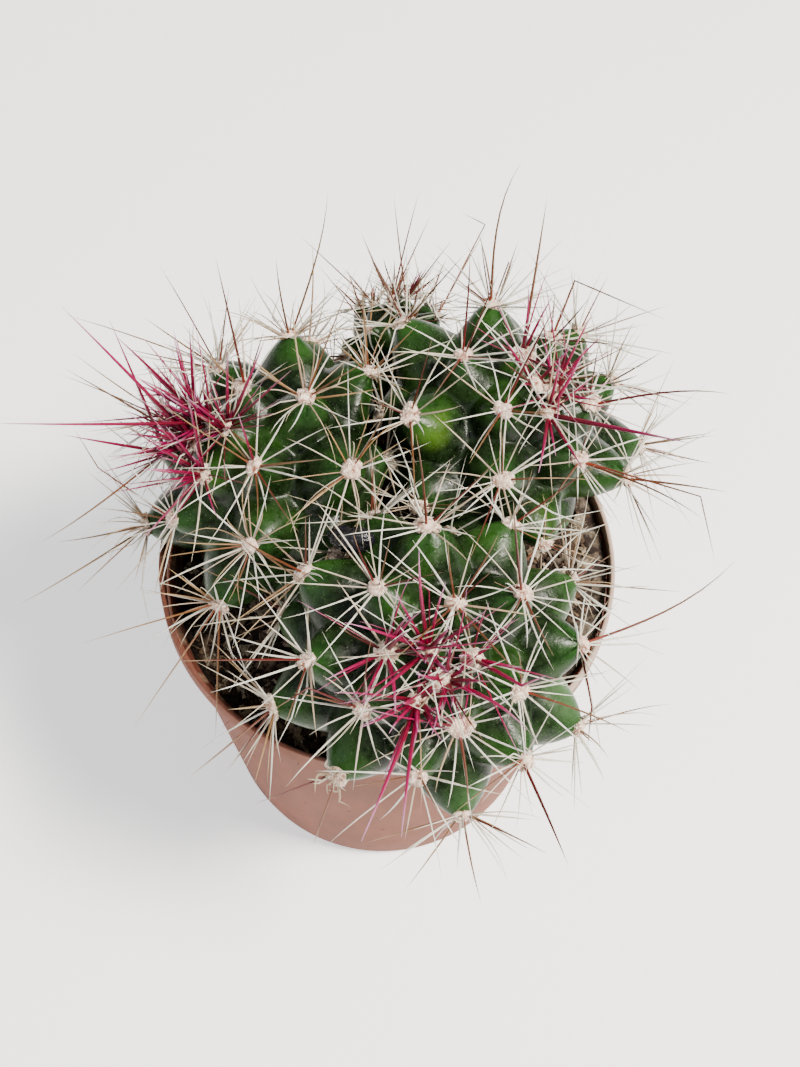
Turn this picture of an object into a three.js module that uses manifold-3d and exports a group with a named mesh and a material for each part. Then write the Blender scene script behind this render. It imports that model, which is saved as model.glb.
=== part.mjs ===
// A clump of round cactus heads in a plastic nursery pot. Millimetres, +Z up.
// The origin is the middle of the pot's flat underside, and -Y is the front.
import * as THREE from 'three';
import { ConvexGeometry } from 'three/addons/geometries/ConvexGeometry.js';
import { ConvexHull } from 'three/addons/math/ConvexHull.js';
import { mergeVertices } from 'three/addons/utils/BufferGeometryUtils.js';
import Module from 'manifold-3d';

// The pot: a thin tapered wall with a low collar under the rim.
const POT_HEIGHT = 92;
const RIM_RADIUS = 52.5;
const FOOT_RADIUS = 39.9;
const WALL = 1.1;
const COLLAR_HEIGHT = 5.5;
const COLLAR_STEP = 1.2;
const RIM_CHAMFER = 0.6;
const FOOT_ROUND = 3;
const FLOOR_THICKNESS = 1.8;
const DRAIN_RADIUS = 3;
const DRAIN_CIRCLE = 26;
const DRAIN_HOLES = 8;
const ROUND_STEPS = 44;

// The soil: a loose mix that stands higher on the right.
const SOIL_LEVEL = 82;
const SOIL_SLOPE = 0.05;
const SOIL_RINGS = 5;
const SOIL_SIDE_LEVEL = 78;
const SOIL_FOOT_INSET = 2;
const SOIL_LUMPS = 12;
const LUMP_SIZE = [1.6, 3.8];
const LUMP_REACH = 44;

// The gap between neighbouring pieces, and the reach within which the corners
// of one piece are drawn together.
const CLEARANCE = 0.35;
const WELD = 0.02;

// The heads. Lean is the tilt from upright, heading its compass angle from +X.
// Girth and rise are the half width and half height over the tubercle tips, and
// spineScale the length of its usual spines against those of a grown head.
// Areoles follow a golden-angle spiral: polar angle = gain * (k + first) ^ power.
// Long spines: areole number, lean from the skin's normal, turn from the crown
// towards the left, length, and how far the tip is bent aside.
const GOLDEN_ANGLE = 137.508;
const HEADS = {
  head_front: {
    centre: [10, -32, 107],
    lean: 33,
    heading: -88,
    girth: 35,
    rise: 27.5,
    spiral: { start: 58, first: 2.06, gain: 1.93, power: 1.2, hand: 1 },
    root: [10, -17],
    neck: 9,
    spineScale: 1,
    seed: 31,
    longSpines: [
      [12, 10, 165, 30, 0],
      [16, 25, -90, 40, 5],
      [8, 15, 170, 28, 4],
      [21, 50, -135, 26, 2],
      [13, 15, 50, 28, 0],
      [18, 30, 5, 22, 1],
      [18, 55, -55, 22, 0],
      [18, 80, 45, 27, 0],
      [2, 25, 180, 40, 0],
      [2, 25, -160, 36, 0],
      [14, 10, -15, 30, 0],
      [11, 35, -60, 34, 0],
      [6, 20, -30, 28, 0],
      [9, 20, 60, 26, 0],
    ],
  },
  head_left: {
    centre: [-24, 10.5, 106.5],
    lean: 37,
    heading: 188,
    girth: 35,
    rise: 27,
    spiral: { start: 247, first: 1.81, gain: 1.73, power: 1.27, hand: 1 },
    root: [-9, 13],
    neck: 9,
    spineScale: 1,
    seed: 12,
    longSpines: [
      [13, 25, 130, 38, 3],
      [0, 30, -25, 48, 4],
      [1, 20, 45, 42, 0],
      [5, 20, 180, 32, 0],
      [3, 20, 35, 32, 0],
      [6, 25, -45, 30, 0],
      [14, 25, -155, 34, 3],
      [17, 35, 15, 34, 0],
      [17, 30, -135, 30, 0],
      [17, 5, 130, 32, 0],
      [8, 40, -15, 26, 0],
      [13, 30, 45, 24, 0],
      [16, 35, -60, 38, 2],
      [12, 55, -135, 20, 0],
    ],
  },
  head_right: {
    centre: [22.5, 20.5, 109],
    lean: 22,
    heading: -4,
    girth: 36,
    rise: 27.5,
    spiral: { start: 328, first: 1.61, gain: 1.46, power: 1.31, hand: -1 },
    root: [13, 20],
    neck: 9,
    spineScale: 1,
    seed: 13,
    longSpines: [
      [12, 5, 35, 37, 5],
      [4, 30, 150, 34, 0],
      [5, 20, 140, 34, 3],
      [13, 5, 90, 24, 0],
      [8, 25, -165, 34, 4],
      [3, 35, -130, 36, 0],
      [7, 40, 45, 30, 0],
      [7, 35, -10, 24, 0],
      [10, 45, 20, 26, 0],
      [6, 35, 35, 28, 0],
      [9, 15, 20, 26, 0],
    ],
  },
  head_back: {
    centre: [0, 46, 98],
    lean: 20,
    heading: 102,
    girth: 17,
    rise: 21.5,
    spiral: { start: 20, first: 1.6, gain: 2.4, power: 1.27, hand: 1 },
    root: [0, 38],
    neck: 6,
    spineScale: 0.8,
    seed: 14,
    longSpines: [
      [0, 20, 90, 26, 0],
      [2, 20, -60, 24, 0],
    ],
  },
};

// A tubercle stands proud of the flesh between it and the next one by a share
// of the head's girth, less at the crown. Its tip is blunt over a share of its
// half width, its flanks fall off by the power, straight at 1, and the upper
// flank is steeper than the lower one by the tilt.
const TUBERCLE_SHARE = 0.36;
const CROWN_TUBERCLE_SHARE = 0.086;
const GROWN_POLAR = 45;
const BLUNT_SHARE = 0.1;
const FLANK_TILT = 0.15;
const FLANK_POWER = 1.35;
// Rings of skin corners on a tubercle: share of its half width, and count.
const FLANK_RINGS = [[0.26, 5], [0.62, 7]];
const LEAST_CORNER_ANGLE = 0.05;
const LOWEST_AREOLE = 150;

// The low side of a head tucks in by a share of its girth, where its directions
// fall from the first of these steepnesses to the second.
const TUCK_SHARE = 0.28;
const TUCK_FALL = [0.22, 0.55];

// The heads end in the soil's surface, and stand on necks that go deeper.
const FLESH_FOOT_LEVEL = 79;
const HOLLOW_SHARE = 1.05;
const NECK_SUNK = 8;
const NECK_TAPER = 0.7;
const ROOT_DEPTH = 16;

// Spines: white radials in a star round each areole, darker centrals inside it.
const RADIALS = 5;
const RADIAL_LENGTH = [13, 17];
const RADIAL_LEAN = [58, 68];
const CENTRALS = 2;
const CENTRAL_LENGTH = [17, 26];
const CENTRAL_LEAN = [8, 38];
// The youngest areoles hold a tuft of centrals and few radials as yet.
const YOUNG_AREOLES = 4;
const YOUNG_CENTRALS = 3;
const YOUNG_RADIALS = 2;
const SPINE_WIDTH = 0.95;
const SPINE_ROOT = 1.6;
const AREOLE_RADIUS = 1.1;
const LOWEST_SPINES = 106;
const LOWEST_SPINY_SHARE = 0.7;

// Spines of two heads pass each other at the gap, and the pot, the soil, the
// dried flower and other heads at these rooms. A spine has some tries for that.
const SPINE_GAP = 1.3;
const POT_ROOM = 1.5;
const SOIL_ROOM = 3;
const FLESH_ROOM = 1.4;
const FLOWER_ROOM = 1.7;
const SPINE_TRIES = 9;

// A dried flower, caught in the cleft between the left and the front head.
const DRIED_FLOWER = { centre: [-8.5, -12.5, 126.5], radius: 3.6 };

// Colours and finishes.
const PLASTIC = { color: 0xb98a7e, roughness: 0.45, metalness: 0 };
const SOIL = { color: 0x33281f, roughness: 0.95, metalness: 0 };
const FLESH = { color: 0x2f5a2a, roughness: 0.4, metalness: 0 };
const HUSK = { color: 0x1d1a1c, roughness: 0.7, metalness: 0 };

const wasm = await Module();
wasm.setup();

const radians = THREE.MathUtils.degToRad;
const group = new THREE.Group();

// A repeatable stream of numbers from 0 to 1.
function draws(seed) {
  let state = seed * 7919 + 17;
  return () => {
    state = (state * 16807) % 2147483647;
    return state / 2147483647;
  };
}

function between([low, high], draw) {
  return low + (high - low) * draw;
}

function solidOf(geometry) {
  const bare = geometry.clone();
  bare.deleteAttribute('normal');
  bare.deleteAttribute('uv');
  const merged = mergeVertices(bare, 1e-4);
  return new wasm.Manifold(new wasm.Mesh({
    numProp: 3,
    vertProperties: merged.attributes.position.array,
    triVerts: new Uint32Array(merged.index.array),
  }));
}

// The largest body of a solid, without any scrap that a cut left loose.
function largestBody(solid) {
  const bodies = solid.decompose();
  return bodies.reduce((a, b) => (a.volume() > b.volume() ? a : b));
}

function geometryOf(solid) {
  const mesh = solid.getMesh();
  const geometry = new THREE.BufferGeometry();
  geometry.setAttribute('position', new THREE.BufferAttribute(mesh.vertProperties, 3));
  geometry.setIndex(new THREE.BufferAttribute(mesh.triVerts, 1));
  return geometry;
}

// The corners of a mesh with those closer than a reach drawn together, and the
// faces that are left once the ones that this closes up are dropped.
function drawnTogether(geometry, reach) {
  const place = geometry.attributes.position;
  const corners = [];
  const cells = new Map();
  const shift = new THREE.Vector3();
  const cellOf = (spot) => spot.clone().divideScalar(reach).floor().add(shift).toArray().join();
  const numberOf = (spot) => {
    for (let i = 0; i < 27; i += 1) {
      shift.set((i % 3) - 1, (Math.floor(i / 3) % 3) - 1, Math.floor(i / 9) - 1);
      const near = (cells.get(cellOf(spot)) ?? []).find((j) => corners[j].distanceTo(spot) < reach);
      if (near !== undefined) return near;
    }
    shift.set(0, 0, 0);
    const own = cellOf(spot);
    cells.set(own, [...(cells.get(own) ?? []), corners.length]);
    return corners.push(spot) - 1;
  };
  const numbers = [];
  for (let i = 0; i < place.count; i += 1) {
    numbers.push(numberOf(new THREE.Vector3().fromBufferAttribute(place, i)));
  }
  const index = geometry.index.array;
  const faces = [];
  for (let i = 0; i < index.length; i += 3) {
    faces.push([numbers[index[i]], numbers[index[i + 1]], numbers[index[i + 2]]]);
  }
  return { corners, faces: openFaces(faces) };
}

// The faces that still have three corners and don't lie back to back.
function openFaces(faces) {
  const kept = new Map();
  for (const face of faces) {
    if (new Set(face).size < 3) continue;
    const key = [...face].sort((p, q) => p - q).join();
    if (!kept.delete(key)) kept.set(key, face);
  }
  return [...kept.values()];
}

// The ends of an edge that more than two faces share, if there is one.
function pinchedEdge(faces) {
  const seen = new Set();
  for (const face of faces) {
    for (let i = 0; i < 3; i += 1) {
      const edge = [face[i], face[(i + 1) % 3]];
      if (seen.has(edge.join())) return edge;
      seen.add(edge.join());
    }
  }
  return null;
}

// One clean body, without slivers or pinched edges.
function tidied(solid) {
  let { corners, faces } = drawnTogether(geometryOf(largestBody(solid)), WELD);
  for (let edge = pinchedEdge(faces); edge; edge = pinchedEdge(faces)) {
    const [stay, go] = edge;
    faces = openFaces(faces.map((face) => face.map((corner) => (corner === go ? stay : corner))));
  }
  return largestBody(new wasm.Manifold(new wasm.Mesh({
    numProp: 3,
    vertProperties: new Float32Array(corners.flatMap((corner) => corner.toArray())),
    triVerts: new Uint32Array(faces.flat()),
  })));
}

function addMesh(name, solid, finish) {
  const geometry = geometryOf(tidied(solid));
  geometry.computeVertexNormals();
  const piece = new THREE.Mesh(geometry, new THREE.MeshStandardMaterial(finish));
  piece.name = name;
  group.add(piece);
}

// A solid of revolution about +Z from [radius, height] points, given from the
// foot of the axis outwards and up.
function turned(outline) {
  const points = outline.map(([r, z]) => new THREE.Vector2(r, z));
  const geometry = new THREE.LatheGeometry(points, ROUND_STEPS);
  return geometry.rotateX(Math.PI / 2);
}

// The pot's outer wall radius below the collar.
function wallRadius(z) {
  const top = RIM_RADIUS - COLLAR_STEP;
  return FOOT_RADIUS + (top - FOOT_RADIUS) * (z / POT_HEIGHT);
}

// The pot's inner radius, which steps out with the collar.
function insideRadius(z) {
  if (z < POT_HEIGHT - COLLAR_HEIGHT) return wallRadius(z) - WALL;
  return RIM_RADIUS - WALL;
}

function makePot() {
  const collarFoot = POT_HEIGHT - COLLAR_HEIGHT;
  const outline = [
    [0, 0],
    [FOOT_RADIUS - FOOT_ROUND, 0],
    [FOOT_RADIUS - 0.3 * FOOT_ROUND, 0.3 * FOOT_ROUND],
    [wallRadius(FOOT_ROUND), FOOT_ROUND],
    [wallRadius(collarFoot), collarFoot],
    [RIM_RADIUS - 0.5 * RIM_CHAMFER, collarFoot + RIM_CHAMFER],
    [RIM_RADIUS, POT_HEIGHT - RIM_CHAMFER],
    [RIM_RADIUS - RIM_CHAMFER, POT_HEIGHT],
    [RIM_RADIUS - WALL, POT_HEIGHT],
    [insideRadius(collarFoot), collarFoot + RIM_CHAMFER],
    [wallRadius(collarFoot) - WALL, collarFoot - RIM_CHAMFER],
    [insideRadius(FOOT_ROUND + 1), FOOT_ROUND + 1],
    [FOOT_RADIUS - FOOT_ROUND - 1, FLOOR_THICKNESS],
    [0, FLOOR_THICKNESS],
  ];
  let pot = solidOf(turned(outline));
  for (let i = 0; i < DRAIN_HOLES; i += 1) {
    const angle = (2 * Math.PI * (i + 0.5)) / DRAIN_HOLES;
    const drill = new THREE.CylinderGeometry(DRAIN_RADIUS, DRAIN_RADIUS, 4 * FLOOR_THICKNESS, 10);
    drill.rotateX(Math.PI / 2);
    drill.translate(DRAIN_CIRCLE * Math.cos(angle), DRAIN_CIRCLE * Math.sin(angle), 0);
    pot = pot.subtract(solidOf(drill));
  }
  return pot;
}

// The space that the flesh leaves free round the pot's wall and rim.
function rimRoom() {
  const low = SOIL_LEVEL - ROOT_DEPTH;
  const collarFoot = POT_HEIGHT - COLLAR_HEIGHT;
  return solidOf(turned([
    [insideRadius(low) - CLEARANCE, low],
    [RIM_RADIUS + CLEARANCE, low],
    [RIM_RADIUS + CLEARANCE, POT_HEIGHT + CLEARANCE],
    [insideRadius(POT_HEIGHT) - CLEARANCE, POT_HEIGHT + CLEARANCE],
    [insideRadius(POT_HEIGHT) - CLEARANCE, collarFoot + RIM_CHAMFER],
    [wallRadius(collarFoot) - WALL - CLEARANCE, collarFoot - RIM_CHAMFER],
    [insideRadius(low) - CLEARANCE, low],
  ]));
}

function soilHeight(x, y) {
  const swell = 0.7 * Math.sin(0.21 * x + 1) * Math.cos(0.17 * y);
  const crumbs = 0.5 * Math.sin(0.63 * x - 0.4 * y) * Math.sin(0.55 * y + 2);
  return SOIL_LEVEL + SOIL_SLOPE * x + swell + crumbs;
}

// The soil's side and underside as a turned block, its top raised by a formula.
function soilBlock() {
  const side = (z) => insideRadius(z) - CLEARANCE;
  const outline = [
    [0, FLOOR_THICKNESS + CLEARANCE],
    [FOOT_RADIUS - FOOT_ROUND - SOIL_FOOT_INSET, FLOOR_THICKNESS + CLEARANCE],
    [side(FOOT_ROUND + SOIL_FOOT_INSET), FOOT_ROUND + SOIL_FOOT_INSET],
  ];
  for (let i = 0; i <= SOIL_RINGS; i += 1) {
    outline.push([side(SOIL_SIDE_LEVEL) * (1 - i / SOIL_RINGS), SOIL_LEVEL]);
  }
  const geometry = turned(outline);
  const place = geometry.attributes.position;
  for (let i = 0; i < place.count; i += 1) {
    if (place.getZ(i) > SOIL_SIDE_LEVEL) {
      place.setZ(i, soilHeight(place.getX(i), place.getY(i)));
    }
  }
  return solidOf(geometry);
}

// Bark chips and grit, sunk by half into the soil.
function soilLumps() {
  const draw = draws(5);
  const lumps = [];
  for (let i = 0; i < SOIL_LUMPS; i += 1) {
    const angle = 2 * Math.PI * draw();
    const out = LUMP_REACH * Math.sqrt(between([0.25, 0.95], draw()));
    const size = between(LUMP_SIZE, draw());
    const lump = new THREE.IcosahedronGeometry(size, 0);
    lump.scale(1.3, 0.9, 0.6);
    lump.rotateZ(Math.PI * draw());
    lump.rotateX(0.5 * draw());
    const x = out * Math.cos(angle);
    const y = out * Math.sin(angle);
    lump.translate(x, y, soilHeight(x, y) + 0.1 * size);
    lumps.push(solidOf(lump));
  }
  return lumps;
}

// The frame of a head: its centre, its own axis, and two directions across it.
function frameOf(head) {
  const lean = radians(head.lean);
  const heading = radians(head.heading);
  const [c, s] = [Math.cos(heading), Math.sin(heading)];
  const axis = new THREE.Vector3(Math.sin(lean) * c, Math.sin(lean) * s, Math.cos(lean));
  const across = new THREE.Vector3(Math.cos(lean) * c, Math.cos(lean) * s, -Math.sin(lean));
  const along = new THREE.Vector3().crossVectors(axis, across);
  return { centre: new THREE.Vector3(...head.centre), axis, across, along };
}

// A unit direction on a head, from its polar angle and its turn about the axis.
function direction(polar, turn) {
  const ring = Math.sin(polar);
  return new THREE.Vector3(ring * Math.cos(turn), ring * Math.sin(turn), Math.cos(polar));
}

// Every areole of a head: its direction, and the half width of its tubercle.
function areolesOf(head) {
  const { start, first, gain, power, hand } = head.spiral;
  const areoles = [];
  for (let k = 0; gain * (k + first) ** power < LOWEST_AREOLE; k += 1) {
    const polar = radians(gain * (k + first) ** power);
    const step = radians(gain * power * (k + first) ** (power - 1));
    const share = 2 * Math.PI * Math.sin(polar) * step;
    areoles.push({
      k,
      polar,
      way: direction(polar, radians(start + hand * GOLDEN_ANGLE * k)),
      halfWidth: 0.62 * Math.sqrt(1.155 * share),
    });
  }
  return areoles;
}

// The tangent at a direction that points to the crown.
function towardsCrown(way) {
  const up = new THREE.Vector3(0, 0, 1).addScaledVector(way, -way.z);
  return up.lengthSq() < 1e-9 ? new THREE.Vector3(1, 0, 0) : up.normalize();
}

// How high a tubercle stands at a direction: 1 on its blunt tip, 0 at its foot.
// Its upper flank is the steeper one, so it points a little to the crown.
function tubercleRise(areole, way) {
  const away = way.angleTo(areole.way) / areole.halfWidth;
  if (away > 1.3) return 0;
  const offset = way.clone().sub(areole.way);
  const above = offset.dot(towardsCrown(areole.way)) / areole.halfWidth;
  const t = THREE.MathUtils.clamp((away * (1 + FLANK_TILT * above) - BLUNT_SHARE) / 0.95, 0, 1);
  return 1 - t ** FLANK_POWER;
}

function placeOf(model, way, share) {
  const { head, frame } = model;
  return frame.centre.clone()
    .addScaledVector(frame.across, share * head.girth * way.x)
    .addScaledVector(frame.along, share * head.girth * way.y)
    .addScaledVector(frame.axis, share * head.rise * way.z);
}

// The share that is left of the full girth on a head's tucked-in low side.
function tuckedShare(model, way) {
  const fall = -way.x * model.frame.across.z - way.z * model.frame.axis.z;
  return 1 - TUCK_SHARE * THREE.MathUtils.smoothstep(fall, ...TUCK_FALL);
}

// The share of the full girth that the skin reaches at a direction. It stops
// short of the neighbouring heads and of the soil.
function skinShare(model, way) {
  const polar = Math.acos(THREE.MathUtils.clamp(way.z, -1, 1));
  const grown = THREE.MathUtils.smoothstep(polar, 0, radians(GROWN_POLAR));
  const depth = THREE.MathUtils.lerp(CROWN_TUBERCLE_SHARE, TUBERCLE_SHARE, grown);
  let rise = 0;
  for (const areole of model.areoles) {
    rise = Math.max(rise, tubercleRise(areole, way));
  }
  let share = tuckedShare(model, way) - depth * (1 - rise);
  const full = placeOf(model, way, 1).sub(model.frame.centre);
  for (const { normal, distance } of model.limits) {
    const reach = full.dot(normal);
    if (reach > 0) share = Math.min(share, distance / reach);
  }
  return share;
}

// Planes that a head stays behind: one towards each neighbour, and the soil.
function limitsOf(name, frame) {
  const limits = [{
    normal: new THREE.Vector3(0, 0, -1),
    distance: frame.centre.z - FLESH_FOOT_LEVEL,
  }];
  for (const [other, head] of Object.entries(HEADS)) {
    if (other === name) continue;
    const normal = new THREE.Vector3(...head.centre).sub(frame.centre);
    const apart = normal.length();
    const own = HEADS[name].girth ** 2 / (HEADS[name].girth ** 2 + head.girth ** 2);
    limits.push({ normal: normal.divideScalar(apart), distance: apart * own - CLEARANCE / 2 });
  }
  return limits;
}

// The directions that the skin's corners stand at: each blunt tip, two rings
// down its flanks, and the meeting points of the valleys.
function skinWays(areoles) {
  const ways = [];
  const keep = (way) => {
    if (ways.every((other) => other.angleTo(way) > LEAST_CORNER_ANGLE)) ways.push(way);
  };
  areoles.forEach(({ way }) => ways.push(way));
  ways.push(new THREE.Vector3(0, 0, -1));
  const net = new ConvexHull().setFromPoints(ways.slice());
  const valleys = net.faces.map((face) => face.normal.clone().normalize());
  for (const areole of areoles) {
    const up = towardsCrown(areole.way);
    const side = new THREE.Vector3().crossVectors(areole.way, up);
    for (const [radius, count] of FLANK_RINGS) {
      for (let i = 0; i < count; i += 1) {
        const turn = (2 * Math.PI * (i + 0.5)) / count;
        const out = up.clone().multiplyScalar(Math.cos(turn)).addScaledVector(side, Math.sin(turn));
        const way = areole.way.clone()
          .addScaledVector(out, Math.tan(radius * areole.halfWidth))
          .normalize();
        const own = way.angleTo(areole.way) / areole.halfWidth;
        const inside = areoles.every((other) => other === areole
          || way.angleTo(other.way) / other.halfWidth > own + 0.2);
        if (inside) keep(way);
      }
    }
  }
  valleys.forEach(keep);
  return ways;
}

function fleshOf(model) {
  const skin = new ConvexGeometry(skinWays(model.areoles));
  const place = skin.attributes.position;
  for (let i = 0; i < place.count; i += 1) {
    const way = new THREE.Vector3().fromBufferAttribute(place, i).normalize();
    const spot = placeOf(model, way, skinShare(model, way));
    place.setXYZ(i, spot.x, spot.y, spot.z);
  }
  return solidOf(skin);
}

// The shallow hollow that a head presses into the soil.
function hollowFor(model) {
  const hollow = new THREE.SphereGeometry(1, 20, 12);
  const place = hollow.attributes.position;
  for (let i = 0; i < place.count; i += 1) {
    const way = new THREE.Vector3().fromBufferAttribute(place, i);
    const spot = placeOf(model, way, HOLLOW_SHARE * tuckedShare(model, way));
    place.setXYZ(i, spot.x, spot.y, Math.max(spot.z, FLESH_FOOT_LEVEL - CLEARANCE));
  }
  return solidOf(hollow);
}

// The short neck by which a head stands in the soil.
function neckOf(head, spare) {
  const top = head.centre[2] - NECK_SUNK;
  const low = SOIL_LEVEL - ROOT_DEPTH - spare;
  const foot = NECK_TAPER * head.neck + spare;
  const neck = new THREE.CylinderGeometry(head.neck + spare, foot, top - low, 12);
  neck.rotateX(Math.PI / 2);
  neck.translate(head.root[0], head.root[1], (top + low) / 2);
  return solidOf(neck);
}

// A three-sided spine through a list of points, tapering to its tip.
function spineSolid(points, width) {
  const last = points.length - 1;
  const forward = points[last].clone().sub(points[0]).normalize();
  const helper = Math.abs(forward.z) < 0.8 ? new THREE.Vector3(0, 0, 1) : new THREE.Vector3(1, 0, 0);
  const side = new THREE.Vector3().crossVectors(forward, helper).normalize();
  const up = new THREE.Vector3().crossVectors(forward, side);
  const corners = [];
  const faces = [0, 2, 1];
  for (let i = 0; i < last; i += 1) {
    const radius = 0.58 * width * (1 - (0.75 * i) / last);
    for (let j = 0; j < 3; j += 1) {
      const turn = (2 * Math.PI * j) / 3;
      corners.push(points[i].clone()
        .addScaledVector(side, radius * Math.cos(turn))
        .addScaledVector(up, radius * Math.sin(turn)));
    }
  }
  corners.push(points[last]);
  for (let i = 0; i < last; i += 1) {
    for (let j = 0; j < 3; j += 1) {
      const [a, b] = [3 * i + j, 3 * i + ((j + 1) % 3)];
      if (i === last - 1) faces.push(a, b, corners.length - 1);
      else faces.push(a, b, b + 3, a, b + 3, a + 3);
    }
  }
  return new wasm.Manifold(new wasm.Mesh({
    numProp: 3,
    vertProperties: new Float32Array(corners.flatMap((corner) => corner.toArray())),
    triVerts: new Uint32Array(faces),
  }));
}

// The points of one spine of an areole, from its sunk root to its tip.
function spineCourse(seat, { lean, turn, length, bend }) {
  const out = seat.up.clone().multiplyScalar(Math.cos(turn)).addScaledVector(seat.side, Math.sin(turn));
  const forward = seat.normal.clone().multiplyScalar(Math.cos(lean))
    .addScaledVector(out, Math.sin(lean));
  const base = seat.tip.clone().addScaledVector(out, AREOLE_RADIUS * Math.sin(lean));
  const points = [base.clone().addScaledVector(forward, -SPINE_ROOT)];
  const aside = new THREE.Vector3().crossVectors(forward, seat.normal).normalize();
  const steps = bend ? 3 : 1;
  for (let i = 1; i <= steps; i += 1) {
    const t = i / steps;
    points.push(base.clone()
      .addScaledVector(forward, length * t)
      .addScaledVector(aside, bend * t * t));
  }
  return points;
}

// The shortest distance between two straight pieces of spine.
function segmentGap(a, b, c, d) {
  const steps = 12;
  const piece = new THREE.Line3(c, d);
  const near = new THREE.Vector3();
  let least = Infinity;
  for (let i = 0; i <= steps; i += 1) {
    const spot = a.clone().lerp(b, i / steps);
    piece.closestPointToPoint(spot, true, near);
    least = Math.min(least, spot.distanceTo(near));
  }
  return least;
}

// Whether a spot lies in or too near the dried flower, another head, the soil
// or the pot.
function blocked(spot, model, models) {
  const flower = new THREE.Vector3(...DRIED_FLOWER.centre);
  if (spot.distanceTo(flower) < DRIED_FLOWER.radius + FLOWER_ROOM) return true;
  const out = Math.hypot(spot.x, spot.y);
  if (spot.z < POT_HEIGHT + POT_ROOM && out < RIM_RADIUS + POT_ROOM) {
    if (out > insideRadius(spot.z) - POT_ROOM) return true;
    if (spot.z < soilHeight(spot.x, spot.y) + SOIL_ROOM) return true;
  }
  return models.some((other) => {
    if (other === model) return false;
    const { head, frame } = other;
    const local = spot.clone().sub(frame.centre);
    const way = new THREE.Vector3(
      local.dot(frame.across) / head.girth,
      local.dot(frame.along) / head.girth,
      local.dot(frame.axis) / head.rise,
    );
    const share = way.length();
    if (share > 1 + FLESH_ROOM / head.rise) return false;
    return share < skinShare(other, way.divideScalar(share)) + FLESH_ROOM / head.rise;
  });
}

function isClear(points, model, models, placed) {
  for (let i = 1; i < points.length; i += 1) {
    for (let t = i === 1 ? 0.25 : 0; t <= 1; t += 0.125) {
      if (blocked(points[i - 1].clone().lerp(points[i], t), model, models)) return false;
    }
  }
  return placed.every(({ owner, points: others }) => {
    if (owner === model) return true;
    for (let i = 1; i < points.length; i += 1) {
      for (let j = 1; j < others.length; j += 1) {
        if (segmentGap(points[i - 1], points[i], others[j - 1], others[j]) < SPINE_GAP) return false;
      }
    }
    return true;
  });
}

// Where an areole's spines stand: on the tip of its tubercle, square to the skin.
function seatOf(model, areole) {
  const { head, frame } = model;
  const share = skinShare(model, areole.way);
  const tip = placeOf(model, areole.way, share);
  const { x, y, z } = areole.way;
  const normal = new THREE.Vector3()
    .addScaledVector(frame.across, x / head.girth)
    .addScaledVector(frame.along, y / head.girth)
    .addScaledVector(frame.axis, z / head.rise)
    .normalize();
  const up = frame.axis.clone().addScaledVector(normal, -frame.axis.dot(normal)).normalize();
  const side = new THREE.Vector3().crossVectors(normal, up);
  return { share, tip, normal, up, side };
}

// The spines wanted at one areole: the long ones first, then a central, then
// the star of radials.
function spinesWanted(head, areole, draw) {
  const wanted = head.longSpines
    .filter(([k]) => k === areole.k)
    .map(([, lean, turn, length, bend]) => ({
      lean: radians(lean),
      turn: radians(turn),
      length,
      bend,
      long: true,
    }));
  const young = areole.k < YOUNG_AREOLES;
  const centrals = young ? YOUNG_CENTRALS : CENTRALS - Math.min(wanted.length, 1);
  for (let i = 0; i < centrals; i += 1) {
    wanted.push({
      lean: radians(between(CENTRAL_LEAN, draw())),
      turn: 2 * Math.PI * draw(),
      length: between(CENTRAL_LENGTH, draw()) * head.spineScale,
      bend: 0,
    });
  }
  const radials = young ? YOUNG_RADIALS : RADIALS;
  const start = 2 * Math.PI * draw();
  for (let i = 0; i < radials; i += 1) {
    wanted.push({
      lean: radians(between(RADIAL_LEAN, draw())),
      turn: start + (2 * Math.PI * (i + 0.3 * draw())) / radials,
      length: between(RADIAL_LENGTH, draw()) * head.spineScale,
      bend: 0,
    });
  }
  return wanted;
}

// A spine that would cross another piece is turned and shortened a little at a
// time until it is clear, or left out.
function settle(wish, seat, model, models, placed, draw) {
  for (let i = 0; i < SPINE_TRIES; i += 1) {
    const spread = i / SPINE_TRIES;
    const tried = {
      ...wish,
      lean: wish.lean + spread * 0.7 * (draw() - 0.5),
      turn: wish.turn + spread * 1.2 * (draw() - 0.5),
      length: wish.length * (1 - (wish.long ? 0 : 0.4 * spread)),
    };
    const points = spineCourse(seat, tried);
    if (isClear(points, model, models, placed)) return points;
  }
  return null;
}

function addSpines(models) {
  const placed = [];
  const rounds = [(wish) => wish.long, (wish) => !wish.long];
  for (const chosen of rounds) {
    for (const model of models) {
      const draw = draws(model.head.seed);
      for (const areole of model.areoles) {
        const seat = seatOf(model, areole);
        const wishes = spinesWanted(model.head, areole, draw);
        if (areole.polar > radians(LOWEST_SPINES) || seat.share < LOWEST_SPINY_SHARE) continue;
        if (blocked(seat.tip.clone().addScaledVector(seat.normal, 2), model, models)) continue;
        for (const wish of wishes.filter(chosen)) {
          const points = settle(wish, seat, model, models, placed, draw);
          if (points) placed.push({ owner: model, points });
        }
      }
    }
  }
  for (const { owner, points } of placed) {
    owner.solid = owner.solid.add(spineSolid(points, SPINE_WIDTH));
  }
}

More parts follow.
